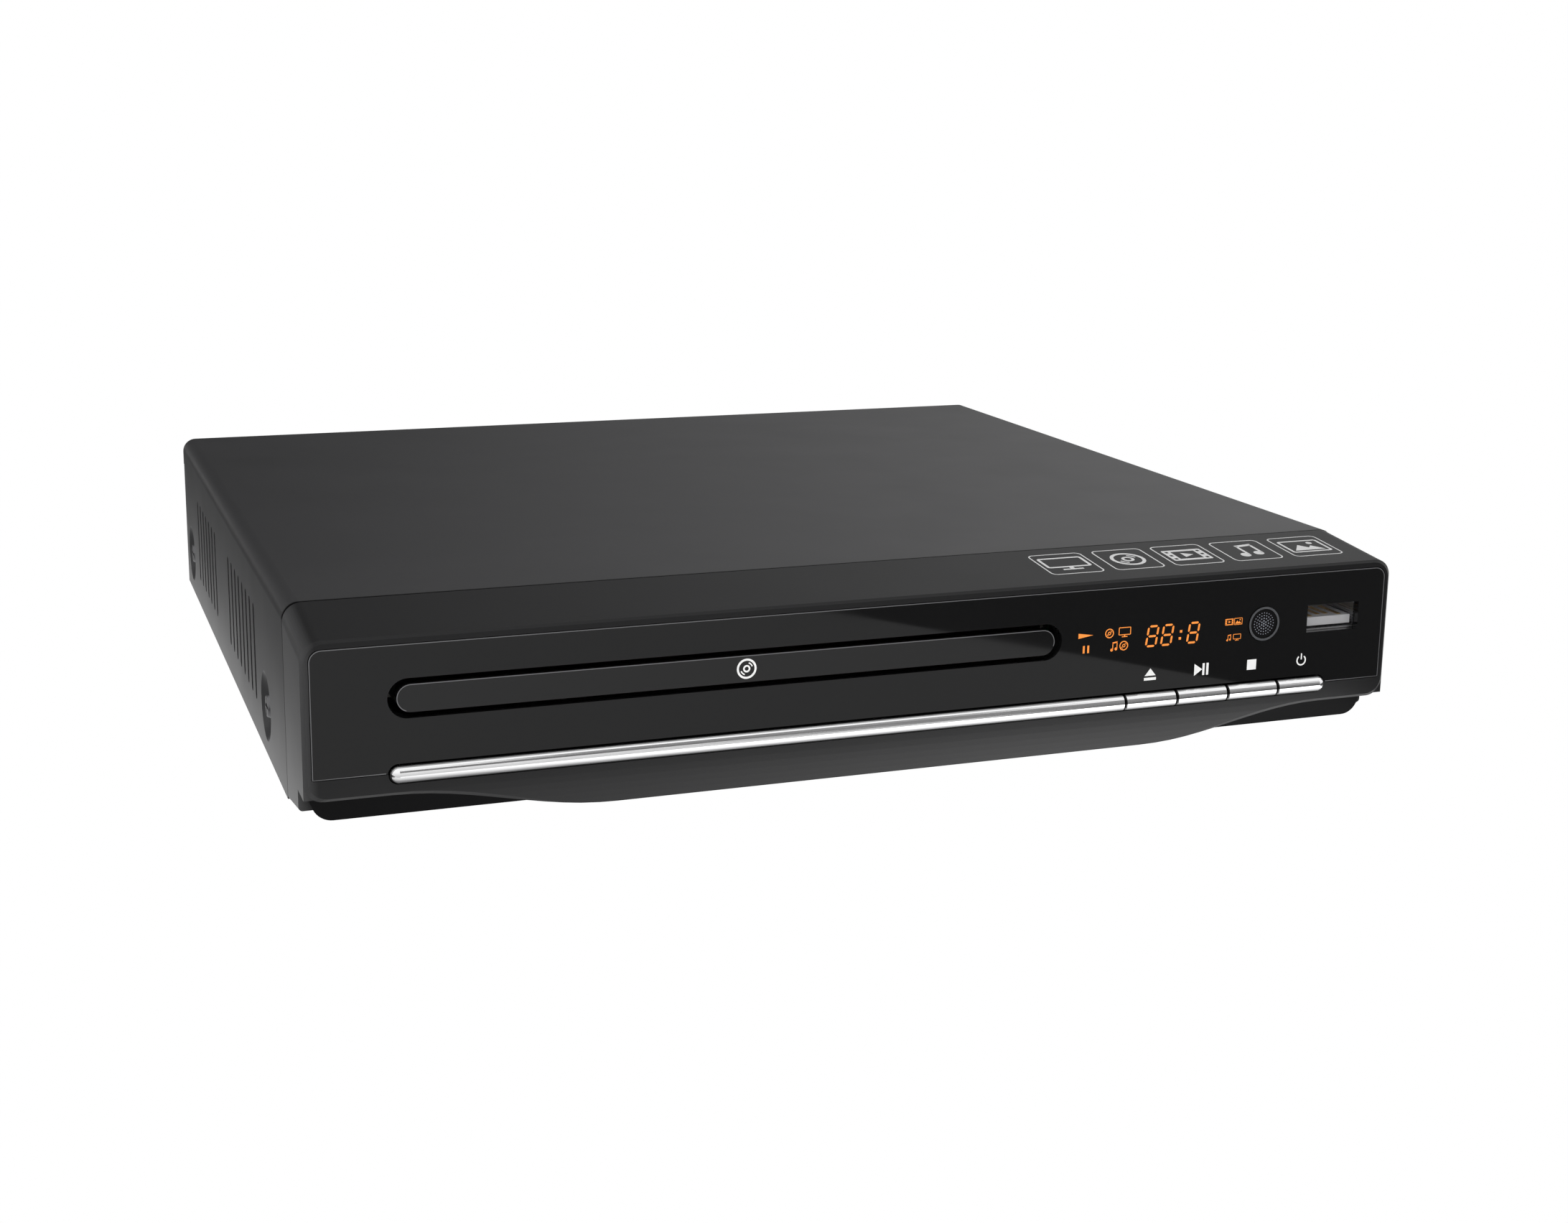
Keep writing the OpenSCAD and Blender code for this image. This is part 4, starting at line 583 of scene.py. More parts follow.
def build_finish(name):
    """Builds a plain finish from its table, or any other with its own maker."""
    for maker, table in ((moulded, PLASTICS), (metal, METALS), (board, BOARDS), (ink, INKS)):
        if name in table:
            return maker(name, *table[name])
    return MAKERS[name](name)


def dress(node_name, finish_name):
    """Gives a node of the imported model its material."""
    mesh = NODES[node_name].data
    mesh.materials.clear()
    mesh.materials.append(finish(finish_name))


# -------------------------------------------------------------------- pieces


def keep(bm, name, body, finish_name):
    """Turns mesh data into a piece that rides on a body."""
    bmesh.ops.recalc_face_normals(bm, faces=bm.faces)
    mesh = bpy.data.meshes.new(name)
    bm.to_mesh(mesh)
    bm.free()
    mesh.materials.append(finish(finish_name))
    piece = bpy.data.objects.new(name, mesh)
    bpy.context.scene.collection.objects.link(piece)
    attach(piece, body)
    return piece


def add_relief(bm, shapes, to_space, height, sink=0.02 * MM):
    """Adds thin closed shapes on a surface; to_space maps (u, v, w) to the model's frame."""
    for loops in shapes:
        flat = [[Vector((u, v, 0.0)) for u, v in loop] for loop in loops]
        corners = [point for loop in flat for point in loop]
        low = [bm.verts.new(to_space(p.x, p.y, -sink)) for p in corners]
        high = [bm.verts.new(to_space(p.x, p.y, height)) for p in corners]
        for a, b, c in tessellate_polygon(flat):
            bm.faces.new((high[a], high[b], high[c]))
            bm.faces.new((low[c], low[b], low[a]))
        start = 0
        for loop in flat:
            for i in range(len(loop)):
                a, b = start + i, start + (i + 1) % len(loop)
                bm.faces.new((low[a], low[b], high[b], high[a]))
            start += len(loop)


def relief(name, shapes, to_space, height, body, finish_name):
    """A piece made of thin shapes on a surface."""
    bm = bmesh.new()
    add_relief(bm, shapes, to_space, height)
    return keep(bm, name, body, finish_name)


def painted_edge_highlight(name, points, body):
    """A painted highlight: a light line along the edge of the lens or the door."""
    line = [strip(points, settings().line_width)]
    return relief(name, line, on_face, EDGE_HEIGHT, body, "lens_edge")


def printed(name, shapes, to_space, body, finish_name):
    """A piece made of ink, as thick as the panel says."""
    return relief(name, shapes, to_space, settings().ink_height, body, finish_name)


def polar(cx, cy, r, angle):
    """The point at an angle on a circle."""
    return cx + r * math.cos(angle), cy + r * math.sin(angle)


def ring(cx, cy, r, steps=32):
    """A circle, as a loop of points."""
    return [polar(cx, cy, r, math.tau * i / steps) for i in range(steps)]


def arc(cx, cy, r, a0, a1, steps=12):
    """Points along an arc between two angles in degrees."""
    return [polar(cx, cy, r, math.radians(a0 + (a1 - a0) * i / steps)) for i in range(steps + 1)]


def box_loop(x0, x1, y0, y1):
    """A rectangle, as a loop of points."""
    return [(x0, y0), (x1, y0), (x1, y1), (x0, y1)]


def round_loop(x0, x1, y0, y1, r, steps=6):
    """A rectangle with round corners, as a loop of points."""
    return (
        arc(x1 - r, y0 + r, r, -90, 0, steps)
        + arc(x1 - r, y1 - r, r, 0, 90, steps)
        + arc(x0 + r, y1 - r, r, 90, 180, steps)
        + arc(x0 + r, y0 + r, r, 180, 270, steps)
    )


def strip(points, width, closed=False):
    """Outline of a line of even width along points."""
    count = len(points)
    left, right = [], []
    for i, (x, y) in enumerate(points):
        if closed:
            ax, ay = points[i - 1]
            bx, by = points[(i + 1) % count]
        else:
            ax, ay = points[max(i - 1, 0)]
            bx, by = points[min(i + 1, count - 1)]
        along = Vector((bx - ax, by - ay)).normalized()
        left.append((x - along.y * width / 2, y + along.x * width / 2))
        right.append((x + along.y * width / 2, y - along.x * width / 2))
    if closed:
        return [left, right[::-1]]
    return [left + right[::-1]]


def scaled(shapes, cx, cy, size):
    """Shapes drawn about the origin, moved to a centre at a size in metres."""
    return [[[(cx + u * size, cy + v * size) for u, v in loop] for loop in loops] for loops in shapes]


def on_face(u, v, w):
    """Across and up on the front face, out towards the viewer."""
    return Vector((u, FACE_Y - w, v))


# The sloping top band of the bezel: its front edge, its slope and its outward direction
BAND_START = Vector((0, FACE_Y + 0.8 * MM, LENS_HIGH.z + 1.5 * MM))
BAND_ALONG = (Vector((0, SEAM_Y - 0.4 * MM, BEZEL_HIGH.z)) - BAND_START).normalized()
BAND_OUT = Vector((0, -BAND_ALONG.z, BAND_ALONG.y))


def on_band(u, v, w):
    """Across and back on the sloping top band of the bezel."""
    return BAND_START + Vector((u, 0, 0)) + BAND_ALONG * v + BAND_OUT * w


# The symbols are about one unit high and drawn about the origin; each is a list of shapes,
# and each shape a list of loops, of which the ones after the first are holes.


def eject_symbol():
    return [[[(-0.5, -0.13), (0.5, -0.13), (0.0, 0.48)]], [box_loop(-0.55, 0.55, -0.51, -0.28)]]


def play_pause_symbol():
    return [
        [[(-0.66, -0.5), (0.08, 0.0), (-0.66, 0.5)]],
        [box_loop(0.10, 0.30, -0.5, 0.5)],
        [box_loop(0.46, 0.66, -0.5, 0.5)],
    ]


def play_symbol():
    return [[[(-0.5, -0.16), (0.5, 0.0), (-0.5, 0.16)]]]


def pause_symbol():
    return [[box_loop(-0.46, -0.19, -0.5, 0.5)], [box_loop(0.19, 0.46, -0.5, 0.5)]]


def stop_symbol():
    return [[box_loop(-0.43, 0.43, -0.43, 0.43)]]


def power_symbol():
    return [strip(arc(0, -0.03, 0.4, 128, 412, 28), 0.115), [box_loop(-0.055, 0.055, 0.04, 0.55)]]


def disc_symbol():
    return [
        strip(ring(0, 0, 0.44), 0.10, True),
        strip(ring(0, 0, 0.14, 20), 0.08, True),
        strip(arc(0, 0, 0.29, 20, 70, 8), 0.06),
        strip(arc(0, 0, 0.29, 200, 250, 8), 0.06),
    ]


def note_symbol():
    return [
        [ring(-0.2, -0.34, 0.15, 16)],
        [ring(0.26, -0.26, 0.15, 16)],
        [box_loop(-0.13, -0.05, -0.34, 0.36)],
        [box_loop(0.33, 0.41, -0.26, 0.44)],
        [[(-0.13, 0.28), (0.41, 0.36), (0.41, 0.5), (-0.13, 0.42)]],
    ]


def film_symbol():
    film = [round_loop(-0.6, 0.6, -0.42, 0.42, 0.06), box_loop(-0.36, 0.36, -0.30, 0.30)[::-1]]
    for x in (-0.48, 0.48):
        for y in (-0.27, 0.0, 0.27):
            film.append(box_loop(x - 0.05, x + 0.05, y - 0.06, y + 0.06)[::-1])
    return [film, [[(-0.12, -0.17), (0.2, 0.0), (-0.12, 0.17)]]]


def screen_symbol():
    return [
        strip(round_loop(-0.62, 0.62, -0.24, 0.46, 0.06), 0.08, True),
        [box_loop(-0.06, 0.06, -0.40, -0.28)],
        [box_loop(-0.3, 0.3, -0.48, -0.40)],
    ]


def picture_symbol():
    return [
        strip(round_loop(-0.6, 0.6, -0.44, 0.44, 0.06), 0.07, True),
        [[(-0.48, -0.32), (-0.16, 0.12), (0.06, -0.14), (0.2, 0.02), (0.48, -0.32)]],
        [ring(0.28, 0.22, 0.09, 16)],
    ]


# The seven bars of a digit, from one end to the other, in a digit one unit wide and high
SEGMENTS = (
    (0.12, 1.0, 0.88, 1.0),
    (0.12, 0.5, 0.88, 0.5),
    (0.12, 0.0, 0.88, 0.0),
    (0.0, 0.56, 0.0, 0.94),
    (1.0, 0.56, 1.0, 0.94),
    (0.0, 0.06, 0.0, 0.44),
    (1.0, 0.06, 1.0, 0.44),
)
DIGIT_WIDTH = 2.2 * MM
DIGIT_HEIGHT = 4.08 * MM
DIGIT_STROKE = 0.42 * MM
DIGIT_LEAN = 0.14


def digit_shapes(x, z):
    """The seven bars of one digit, pointed at both ends and leaning to the right."""
    shapes = []
    for u0, v0, u1, v1 in SEGMENTS:
        a = Vector((x + u0 * DIGIT_WIDTH, z + v0 * DIGIT_HEIGHT))
        b = Vector((x + u1 * DIGIT_WIDTH, z + v1 * DIGIT_HEIGHT))
        along = (b - a).normalized()
        side = Vector((-along.y, along.x)) * DIGIT_STROKE / 2
        tip = along * DIGIT_STROKE / 2
        upper = [a + tip * 0.8 + side, b - tip * 0.8 + side]
        lower = [b - tip * 0.8 - side, a + tip * 0.8 - side]
        loop = [a - tip * 0.2, *upper, b + tip * 0.2, *lower]
        shapes.append([[(p.x + (p.y - z) * DIGIT_LEAN, p.y) for p in loop]])
    return shapes


# Left ends of the digits, and centres of the two dots of the colon, in millimetres
DIGIT_PLACES = (54.82, 58.27, 64.27)
COLON_DOTS = ((62.6, 1.07), (62.8, 2.52))
HALF_DOT = 0.27 * MM

# Symbols of the display: place across, place above the foot of the digits, and size, in millimetres
DISPLAY_SYMBOLS = (
    (play_symbol, 41.15, 3.32, 3.3),
    (pause_symbol, 41.3, 0.48, 1.53),
    (disc_symbol, 46.45, 3.37, 2.0),
    (screen_symbol, 49.9, 3.37, 2.1),
    (note_symbol, 47.5, 0.6, 2.05),
    (disc_symbol, 49.8, 0.6, 2.0),
    (film_symbol, 74.0, 3.6, 1.6),
    (picture_symbol, 76.1, 3.6, 1.5),
    (note_symbol, 74.0, 0.25, 1.4),
    (screen_symbol, 76.0, 0.25, 1.4),
)

# Symbols over the buttons; they stand a little right of them, above the bar
BUTTON_SYMBOLS = {
    "eject_button": eject_symbol,
    "play_button": play_pause_symbol,
    "stop_button": stop_symbol,
    "power_button": power_symbol,
}
SYMBOL_OFFSET = 0.25 * MM
SYMBOL_RISE = 5.4 * MM

# Pictograms of the top band, with the two sides of their frames in millimetres
BAND_PICTOGRAMS = (
    (screen_symbol, 36.6, 48.3),
    (disc_symbol, 51.1, 62.2),
    (film_symbol, 64.8, 76.2),
    (note_symbol, 78.9, 90.2),
    (picture_symbol, 93.1, 104.8),
)
FRAME_FRONT = 5.2 * MM
FRAME_BACK = 17.1 * MM
FRAME_CORNER = 1.2 * MM
FRAME_LINE = 0.3 * MM
PICTOGRAM_SIZE = 7.6 * MM

# Painted highlights as light lines on the edges of the lens and the door, and the symbol of the door
EDGE_INSET = 0.05 * MM
EDGE_CORNER = 2.1 * MM
EDGE_HEIGHT = 0.02 * MM
BAR_END_GAP = 0.6 * MM
DOOR_SYMBOL_OFFSET = 0.6 * MM
DOOR_SYMBOL_SIZE = 4.0 * MM

# Rim and dots of the sensor window
RIM_RADIUS = 3.35 * MM
RIM_WIDTH = 0.44 * MM
RIM_HEIGHT = 0.23 * MM
DOT_PITCH = 0.56 * MM
DOT_TURNS = 4

# USB socket: place across and set-back of each contact, and the bowed spring tabs, in millimetres
USB_CONTACTS = ((-3.5, 2.9), (-1.0, 3.9), (1.0, 3.9), (3.5, 2.9))
USB_CONTACT_BACK = 10.0
USB_CONTACT_HALF = 0.5
USB_TONGUE_HEIGHT = 2.3
USB_TABS = (-3.2, 3.2)
USB_TAB_PROFILE = ((2.2, 0.36), (3.4, 0.85), (5.2, 1.0), (7.0, 0.36))
USB_TAB_HALF = 0.9
USB_TAB_THICKNESS = 0.15


# ------------------------------------------------------------------ settings


def colour_setting(name, description, default):
    """A colour of the panel."""
    options = {"subtype": "COLOR", "size": 3, "min": 0, "max": 1}
    return FloatVectorProperty(name=name, description=description, default=default, **options)


def length_setting(name, description, default, low, high):
    """A length of the panel."""
    options = {"subtype": "DISTANCE", "unit": "LENGTH", "default": default, "min": low, "max": high}
    return FloatProperty(name=name, description=description, **options)


def light_setting(name, description, default, high, subtype="NONE"):
    """A strength of light of the panel."""
    options = {"subtype": subtype, "default": default, "min": 0, "max": high}
    return FloatProperty(name=name, description=description, **options)


class DiscPlayerSettings(bpy.types.PropertyGroup):
    """Colours and sizes of the finishes and details."""

    cover_colour: colour_setting("Cover Colour", "Paint of the sheet-metal cover", (0.030, 0.030, 0.031))
    bezel_colour: colour_setting("Bezel Colour", "Moulded plastic of the bezel", (0.009, 0.009, 0.0094))
    lens_colour: colour_setting("Lens Colour", "Smoked lens and tray door", (0.006, 0.006, 0.0062))
    display_colour: colour_setting("Display Colour", "Lit segments and lit symbols", (0.78, 0.24, 0.035))
    symbol_height: length_setting(
        "Symbol Height", "Height of the button symbols on the lens", 2.5 * MM, 1 * MM, 3 * MM
    )
    ink_height: length_setting("Ink Height", "Thickness of the printed ink", 0.03 * MM, 0.01 * MM, 0.1 * MM)
    # The light lines round the lens and the door are painted highlights
    line_width: length_setting(
        "Line Width", "Width of the light lines round the lens and the door", 0.16 * MM, 0.05 * MM, 0.5 * MM
    )


class DiscPlayerStage(bpy.types.PropertyGroup):
    """Light and backdrop of the studio."""

    sky: light_setting("Sky", "Strength of the even light all round", 0.75, 3)
    key_power: light_setting("Key Lamp", "Power of the large lamp above the left", 9.0, 200, "POWER")
    rim_power: light_setting("Rear Lamp", "Power of the low lamp behind the right", 7.0, 200, "POWER")


def settings():
    """The values of the panel."""
    return bpy.context.scene.disc_player


# ----------------------------------------------------------------- operators


class PLAYER_OT_housing(bpy.types.Operator):
    """Finish the cover, base pan, rear panel, feet and screws"""

    bl_idname = "disc_player.housing"
    bl_label = "Housing"

    def execute(self, context):
        dress("top_cover", "cover_paint")
        dress("base_pan", "pan_steel")
        dress("rear_panel", "panel_paint")
        for name in FEET:
            dress(name, "soft_rubber")
        for name in SCREWS:
            dress(name, "screw_steel")
        return {"FINISHED"}


class PLAYER_OT_front(bpy.types.Operator):
    """Finish the bezel, plinth, lens and sensor window, and draw the lens's painted highlight line and the
    sensor's ring and dots
    """

    bl_idname = "disc_player.front"
    bl_label = "Front"

    def execute(self, context):
        dress("front_bezel", "bezel_black")
        dress("front_plinth", "plinth_black")
        dress("front_lens", "lens_smoke")
        dress("sensor_window", "lens_smoke")
        self.lens_highlight()
        self.sensor_dots()
        return {"FINISHED"}

    def lens_highlight(self):
        """The painted highlight round the lens, a light line which stops beside the bar below."""
        inset = settings().line_width / 2 + EDGE_INSET
        x = LENS_HIGH.x - inset
        z0, z1 = LENS_LOW.z + inset, LENS_HIGH.z - inset
        r = EDGE_CORNER
        bar_end = abs(BAR_LOW.x) + BAR_END_GAP
        edge = (
            [(-bar_end, z0), (-x, z0)]
            + arc(-x + r, z1 - r, r, 180, 90, 8)
            + arc(x - r, z1 - r, r, 90, 0, 8)
            + [(x, z0), (bar_end, z0)]
        )
        painted_edge_highlight("lens_edge_highlight", edge, "root")

    def sensor_dots(self):
        """A ring and a field of dots on the window of the remote sensor."""
        centre = (WINDOW_LOW + WINDOW_HIGH) / 2
        rim = strip(ring(centre.x, centre.z, RIM_RADIUS, 64), RIM_WIDTH, True)
        relief("sensor_ring", [rim], on_face, RIM_HEIGHT, "root", "ring_grey")
        dots = [[ring(centre.x, centre.z, 0.2 * MM, 8)]]
        for turn in range(1, DOT_TURNS + 1):
            radius = (0.19 - 0.018 * turn) * MM
            for step in range(6 * turn):
                angle = math.tau * (step + 0.5 * (turn % 2)) / (6 * turn)
                u, v = polar(centre.x, centre.z, DOT_PITCH * turn, angle)
                dots.append([ring(u, v, radius, 8)])
        relief("sensor_dots", dots, on_face, 0.03 * MM, "root", "dot_grey")


class PLAYER_OT_bar(bpy.types.Operator):
    """Finish the chrome bar and its four buttons"""

    bl_idname = "disc_player.bar"
    bl_label = "Bar and Buttons"

    def execute(self, context):
        dress("trim_bar", "chrome_trim")
        for name in BUTTON_SYMBOLS:
            dress(name, "chrome_button")
        return {"FINISHED"}


class PLAYER_OT_symbols(bpy.types.Operator):
    """Print the button symbols on the lens and light the display"""

    bl_idname = "disc_player.symbols"
    bl_label = "Symbols and Display"

    def execute(self, context):
        dress("display_module", "component_black")
        self.button_symbols()
        self.display()
        return {"FINISHED"}

    def button_symbols(self):
        """One printed symbol above each button."""
        size = settings().symbol_height
        level = (BAR_LOW.z + BAR_HIGH.z) / 2 + SYMBOL_RISE
        for name, symbol in BUTTON_SYMBOLS.items():
            low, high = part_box(name)
            centre = (low.x + high.x) / 2 + SYMBOL_OFFSET
            shapes = scaled(symbol(), centre, level, size)
            piece = name.replace("button", "symbol")
            printed(piece, shapes, on_face, "root", "symbol_white")

    def display(self):
        """Lit digits with a colon, and lit symbols on both sides of them."""
        low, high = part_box("display_module")
        base = (low.z + high.z) / 2 - DIGIT_HEIGHT / 2
        digits = []
        for x in DIGIT_PLACES:
            digits += digit_shapes(x * MM, base)
        for x, z in COLON_DOTS:
            u, v = x * MM, base + z * MM
            digits.append([box_loop(u - HALF_DOT, u + HALF_DOT, v - HALF_DOT, v + HALF_DOT)])
        printed("display_digits", digits, on_face, "root", "display_orange")
        lit = []
        for symbol, x, z, size in DISPLAY_SYMBOLS:
            lit += scaled(symbol(), x * MM, base + z * MM, size * MM)
        printed("display_symbols", lit, on_face, "root", "display_orange")


class PLAYER_OT_band(bpy.types.Operator):
    """Print five framed pictograms on the sloping top band"""

    bl_idname = "disc_player.band"
    bl_label = "Top Band Pictograms"

    def execute(self, context):
        middle = (FRAME_FRONT + FRAME_BACK) / 2
        shapes = []
        for symbol, x0, x1 in BAND_PICTOGRAMS:
            outline = round_loop(x0 * MM, x1 * MM, FRAME_FRONT, FRAME_BACK, FRAME_CORNER)
            shapes.append(strip(outline, FRAME_LINE, True))
            shapes += scaled(symbol(), (x0 + x1) / 2 * MM, middle, PICTOGRAM_SIZE)
        printed("band_pictograms", shapes, on_band, "root", "symbol_grey")
        return {"FINISHED"}


class PLAYER_OT_tray(bpy.types.Operator):
    """Finish the tray and its door, with the door's painted highlight line and disc symbol"""

    bl_idname = "disc_player.tray"
    bl_label = "Tray"

    def execute(self, context):
        dress("disc_tray", "tray_black")
        dress("tray_door", "door_smoke")
        r = (DOOR_HIGH.z - DOOR_LOW.z) / 2 - settings().line_width / 2 - EDGE_INSET
        x0, x1 = DOOR_LOW.x + r + 0.1 * MM, DOOR_HIGH.x - r - 0.1 * MM
        z = (DOOR_LOW.z + DOOR_HIGH.z) / 2
        edge = arc(x0, z, r, 250, 90, 16) + arc(x1, z, r, 90, -20, 10)
        painted_edge_highlight("door_edge_highlight", edge, "tray")
        centre = (DOOR_LOW.x + DOOR_HIGH.x) / 2 + DOOR_SYMBOL_OFFSET
        shapes = scaled(disc_symbol(), centre, z, DOOR_SYMBOL_SIZE)
        printed("door_symbol", shapes, on_face, "tray", "symbol_white")
        return {"FINISHED"}


class PLAYER_OT_socket(bpy.types.Operator):
    """Finish the USB socket, with its contacts and spring tabs"""

    bl_idname = "disc_player.socket"
    bl_label = "USB Socket"

    def execute(self, context):
        dress("usb_shell", "bright_steel")
        dress("usb_tongue", "insulator_grey")
        self.contacts()
        self.tabs()
        return {"FINISHED"}

    def contacts(self):
        """Four gold contacts on the tongue."""
        low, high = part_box("usb_shell")
        centre = (low.x + high.x) / 2
        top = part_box("usb_tongue")[0].z + USB_TONGUE_HEIGHT * MM
        back = FACE_Y + USB_CONTACT_BACK * MM
        half = USB_CONTACT_HALF * MM
        bm = bmesh.new()
        for offset, set_back in USB_CONTACTS:
            x = centre + offset * MM
            lane = box_loop(x - half, x + half, FACE_Y + set_back * MM, back)
            add_relief(bm, [[lane]], lambda u, v, w: Vector((u, v, top + w)), 0.08 * MM)
        keep(bm, "usb_contacts", "root", "gold_contact")

    def tabs(self):
        """Two bowed spring tabs under the roof of the shell."""
        low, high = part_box("usb_shell")
        centre = (low.x + high.x) / 2
        half = USB_TAB_HALF * MM
        lower = [(FACE_Y + y * MM, high.z - drop * MM) for y, drop in USB_TAB_PROFILE]
        upper = [(y, z + USB_TAB_THICKNESS * MM) for y, z in lower]
        bm = bmesh.new()
        for offset in USB_TABS:
            x = centre + offset * MM
            add_relief(bm, [[lower + upper[::-1]]], lambda u, v, w, x=x: Vector((x + w, u, v)), half, half)
        keep(bm, "usb_spring_tabs", "root", "bright_steel")


class PLAYER_OT_loader(bpy.types.Operator):
    """Finish the loader, gears, traverse, pickup and clamp"""

    bl_idname = "disc_player.loader"
    bl_label = "Loader"

    def execute(self, context):
        drawn = {
            "frame_white": ("loader_frame", "cam_slider", "clamp_puck"),
            "gear_white": ("motor_pulley", "pulley_gear", "tray_gear", "sled_pinion", "sled_gear"),
            "soft_rubber": ("loading_belt", "turntable_pad"),
            "bright_steel": ("loading_motor", "spindle_motor", "sled_motor", "guide_rails"),
            "deck_black": ("traverse_deck",),
            "tray_black": ("turntable",),
            "pickup_metal": ("optical_pickup",),
            "lens_glass": ("pickup_lens",),
            "zinc_steel": ("clamp_bridge", "clamp_plate"),
        }
        for finish_name, names in drawn.items():
            for name in names:
                dress(name, finish_name)
        return {"FINISHED"}


class PLAYER_OT_boards(bpy.types.Operator):
    """Finish the circuit boards and what stands on them"""

    bl_idname = "disc_player.boards"
    bl_label = "Boards"

    def execute(self, context):
        drawn = {
            "pcb_green": ("front_pcb", "main_pcb", "av_pcb"),
            "pcb_tan": ("power_pcb",),
            "component_black": ("ir_receiver", "tact_switches", "decoder_chips"),
            "ferrite": ("power_transformer",),
            "cap_blue": ("bulk_capacitor",),
            "heat_sink_alu": ("heat_sink",),
            "insulator_white": ("ribbon_cable",),
        }
        for finish_name, names in drawn.items():
            for name in names:
                dress(name, finish_name)
        return {"FINISHED"}


class PLAYER_OT_rear(bpy.types.Operator):
    """Finish the rear connectors"""

    bl_idname = "disc_player.rear"
    bl_label = "Rear Connectors"

    def execute(self, context):
        dress("av_jack_block", "component_black")
        dress("av_jack_shells", "bright_steel")
        dress("av_jack_inserts", "jack_insert")
        dress("hdmi_socket", "bright_steel")
        dress("mains_inlet", "component_black")
        return {"FINISHED"}


# The camera of the photo: lens and shift, place, and its three directions
CAMERA_LENS = 49.565
CAMERA_SHIFT = (0.0045, -0.0448)
CAMERA_PLACE = Vector((-0.16180, -0.47243, 0.13813))
CAMERA_RIGHT = Vector((0.93732, -0.34821, 0.01325))
CAMERA_UP = Vector((0.06206, 0.20424, 0.97695))
CAMERA_AHEAD = Vector((0.34289, 0.91490, -0.21305))


class PLAYER_OT_stage(bpy.types.Operator):
    """Set up the camera, floor, lamps and sky"""

    bl_idname = "disc_player.stage"
    bl_label = "Stage"

    def execute(self, context):
        self.camera(context)
        self.floor()
        self.cards()
        self.lamps()
        self.sky(context)
        context.scene.view_settings.view_transform = "Standard"
        return {"FINISHED"}

    def camera(self, context):
        """The camera of the photo."""
        data = bpy.data.cameras.new("camera")
        data.sensor_width = 36.0
        data.lens = CAMERA_LENS
        data.shift_x, data.shift_y = CAMERA_SHIFT
        data.clip_start = 0.01
        data.dof.use_dof = False
        made = bpy.data.objects.new("camera", data)
        turn = Matrix((CAMERA_RIGHT, CAMERA_UP, -CAMERA_AHEAD)).transposed().to_4x4()
        made.matrix_world = Matrix.Translation(CAMERA_PLACE) @ turn
        context.scene.collection.objects.link(made)
        context.scene.camera = made

    def floor(self):
        """A floor of paper that the camera sees as plain white."""
        bm = bmesh.new()
        bmesh.ops.create_grid(bm, x_segments=8, y_segments=8, size=4.0)
        mesh = bpy.data.meshes.new("floor")
        bm.to_mesh(mesh)
        bm.free()
        made = bpy.data.objects.new("floor", mesh)
        bpy.context.scene.collection.objects.link(made)
        paper = bpy.data.materials.new("floor_paper")
        paper.use_nodes = True
        tree = paper.node_tree
        tree.nodes.clear()
        grain = noise(tree, object_place(tree), 300.0)
        colour = mix_color(tree, grain, (0.88, 0.88, 0.88, 1), (0.91, 0.91, 0.91, 1))
        lit = node(tree, "BsdfDiffuse", {"Color": colour})
        plain = node(tree, "Emission", {"Color": (1, 1, 1, 1), "Strength": 1.0})
        both = node(tree, "MixShader", {0: seen_directly(tree), 1: lit.outputs[0], 2: plain.outputs[0]})
        output = tree.nodes.new("ShaderNodeOutputMaterial")
        tree.links.new(both.outputs[0], output.inputs[0])
        mesh.materials.append(paper)

    def cards(self):
        """Cards that only reflections see: behind, on the floor and in front."""
        card("rear_card", upright(-3.0, 3.5, 2.5, -0.2, 2.2), (0.2, 1.7), (0.0, 0.55))
        run = Vector((0.0699, 0.0969, 0.0))
        start = Vector((0.0344, -0.2555, 0.001)) - run
        end = Vector((0.1043, -0.1586, 0.001)) + run
        slanted = [start, end, Vector((0.7, end.y, end.z)), Vector((0.7, start.y, start.z))]
        card("lens_card", slanted, (0.0, 1.0), (0.13, 0.13))
        card("apron_card", lying(-0.12, 0.12, -0.134, -0.106, 0.002), (-0.11, 0.03), (1.6, 4.6))
        card("side_card", lying(-0.75, -0.114, -0.14, 0.9, 0.001), (-0.138, -0.1145), (0.06, 1.08))
        streak = [(0.1, -1.6, 0.5), (1.3, -1.6, 0.02), (1.3, -1.6, 4.5), (0.1, -1.6, 0.95)]
        card("bar_card", streak, (0.1, 1.3), (0.14, 0.3))
        card("fold_card", upright(-1.15, -0.75, 2.45, -0.2, 1.5), (-1.15, -0.75), (0.3, 0.3))

    def lamps(self):
        """A large lamp above the left and a low one behind the right."""
        stage = bpy.context.scene.disc_player_stage
        lamp("key_lamp", stage.key_power, (-0.6, -0.5, 1.1), (1.1, 0.8))
        lamp("rear_lamp", stage.rim_power, (1.0, 0.9, 0.45), (0.9, 0.6))

    def sky(self, context):
        """Even light all round, which the camera and reflections see as white."""
        world = bpy.data.worlds.new("sky")
        world.use_nodes = True
        tree = world.node_tree
        tree.nodes.clear()
        level = context.scene.disc_player_stage.sky
        strength = spread(tree, seen_directly(tree), 0.0, 1.0, level, 1.0)
        shown = node(tree, "Background", {"Color": (1, 1, 1, 1), "Strength": strength})
        output = tree.nodes.new("ShaderNodeOutputWorld")
        tree.links.new(shown.outputs[0], output.inputs[0])
        context.scene.world = world


def seen_directly(tree):
    """1 for camera, glossy and transmission rays."""
    path = node(tree, "LightPath").outputs
    first = maths(tree, "MAXIMUM", path["Is Camera Ray"], path["Is Glossy Ray"])
    return maths(tree, "MAXIMUM", first, path["Is Transmission Ray"])


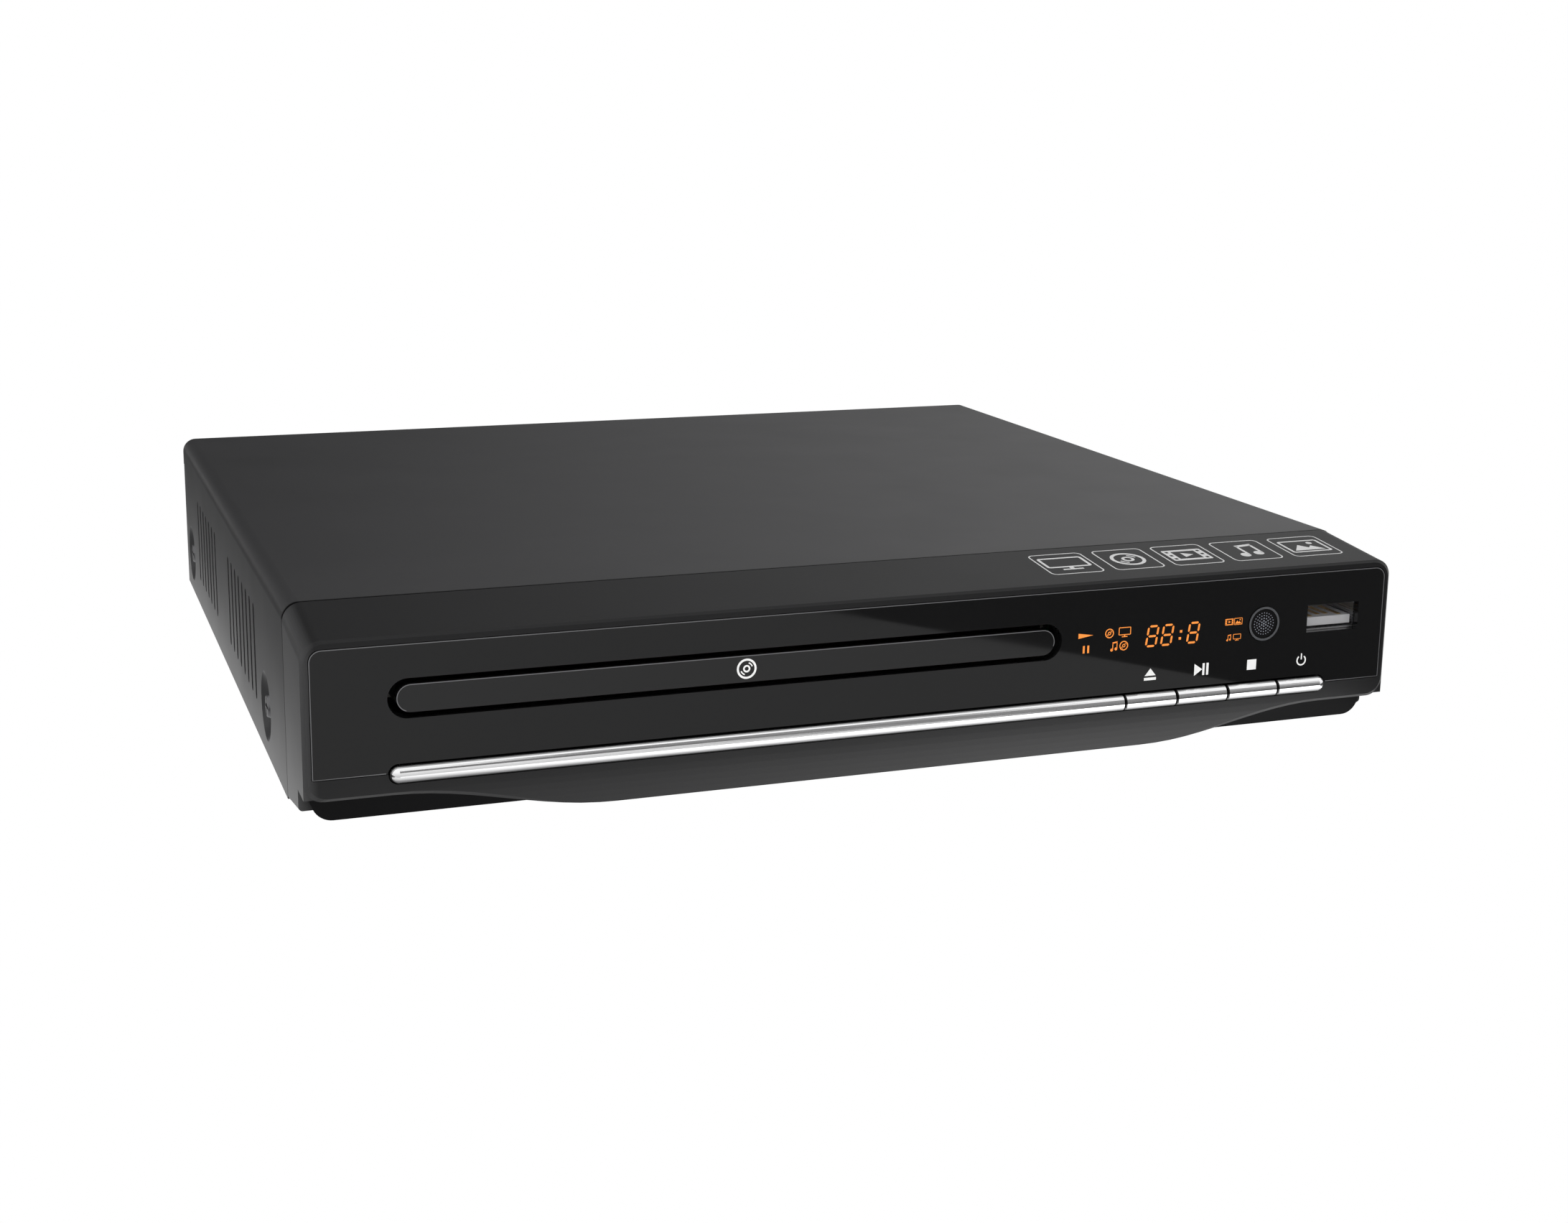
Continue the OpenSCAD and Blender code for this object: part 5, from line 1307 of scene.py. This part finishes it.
def upright(x0, x1, y, z0, z1):
    """Corners of a card that stands across the view."""
    return [(x0, y, z0), (x1, y, z0), (x1, y, z1), (x0, y, z1)]


def lying(x0, x1, y0, y1, z):
    """Corners of a card that lies flat."""
    return [(x0, y0, z), (x1, y0, z), (x1, y1, z), (x0, y1, z)]


def card(name, corners, span, levels):
    """A card for reflections only, whose light goes from one level to the other along X."""
    bm = bmesh.new()
    bm.faces.new([bm.verts.new(corner) for corner in corners])
    mesh = bpy.data.meshes.new(name)
    bm.to_mesh(mesh)
    bm.free()
    made = bpy.data.objects.new(name, mesh)
    bpy.context.scene.collection.objects.link(made)
    for kind in ("camera", "diffuse", "transmission", "volume_scatter", "shadow"):
        setattr(made, "visible_" + kind, False)
    paper = bpy.data.materials.new(name + "_paper")
    paper.use_nodes = True
    tree = paper.node_tree
    tree.nodes.clear()
    where = node(tree, "SeparateXYZ", {0: object_place(tree)}).outputs["X"]
    level = spread(tree, where, *span, *levels)
    glow = node(tree, "Emission", {"Color": (1, 1, 1, 1), "Strength": level})
    output = tree.nodes.new("ShaderNodeOutputMaterial")
    tree.links.new(glow.outputs[0], output.inputs[0])
    mesh.materials.append(paper)


def lamp(name, power, spot, size):
    """A soft rectangular lamp that points at the middle of the player."""
    data = bpy.data.lights.new(name, "AREA")
    data.shape = "RECTANGLE"
    data.size, data.size_y = size
    data.energy = power
    made = bpy.data.objects.new(name, data)
    made.location = spot
    made.rotation_euler = (Vector((0, 0, 0.02)) - Vector(spot)).to_track_quat("-Z", "Y").to_euler()
    made.visible_glossy = False
    bpy.context.scene.collection.objects.link(made)
    return made


class PLAYER_PT_panel(bpy.types.Panel):
    """Sidebar panel with the player's groups and settings"""

    bl_label = "Disc Player"
    bl_idname = "PLAYER_PT_panel"
    bl_space_type = "VIEW_3D"
    bl_region_type = "UI"
    bl_category = "Disc Player"

    def draw(self, context):
        layout = self.layout
        for owner in (context.scene.disc_player, context.scene.disc_player_stage):
            for key in owner.__annotations__:
                layout.prop(owner, key)
        for step in STEPS:
            layout.operator(step.bl_idname)


STEPS = (
    PLAYER_OT_stage,
    PLAYER_OT_housing,
    PLAYER_OT_front,
    PLAYER_OT_bar,
    PLAYER_OT_symbols,
    PLAYER_OT_band,
    PLAYER_OT_tray,
    PLAYER_OT_socket,
    PLAYER_OT_loader,
    PLAYER_OT_boards,
    PLAYER_OT_rear,
)
CLASSES = (DiscPlayerSettings, DiscPlayerStage, *STEPS, PLAYER_PT_panel)


def register():
    for cls in CLASSES:
        bpy.utils.register_class(cls)
    bpy.types.Scene.disc_player = PointerProperty(type=DiscPlayerSettings)
    bpy.types.Scene.disc_player_stage = PointerProperty(type=DiscPlayerStage)


def unregister():
    del bpy.types.Scene.disc_player_stage
    del bpy.types.Scene.disc_player
    for cls in reversed(CLASSES):
        bpy.utils.unregister_class(cls)


def main():
    """Registers the add-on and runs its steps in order."""
    register()
    make_effects()
    for step in STEPS:
        group, name = step.bl_idname.split(".")
        getattr(getattr(bpy.ops, group), name)()


if __name__ == "__main__":
    main()
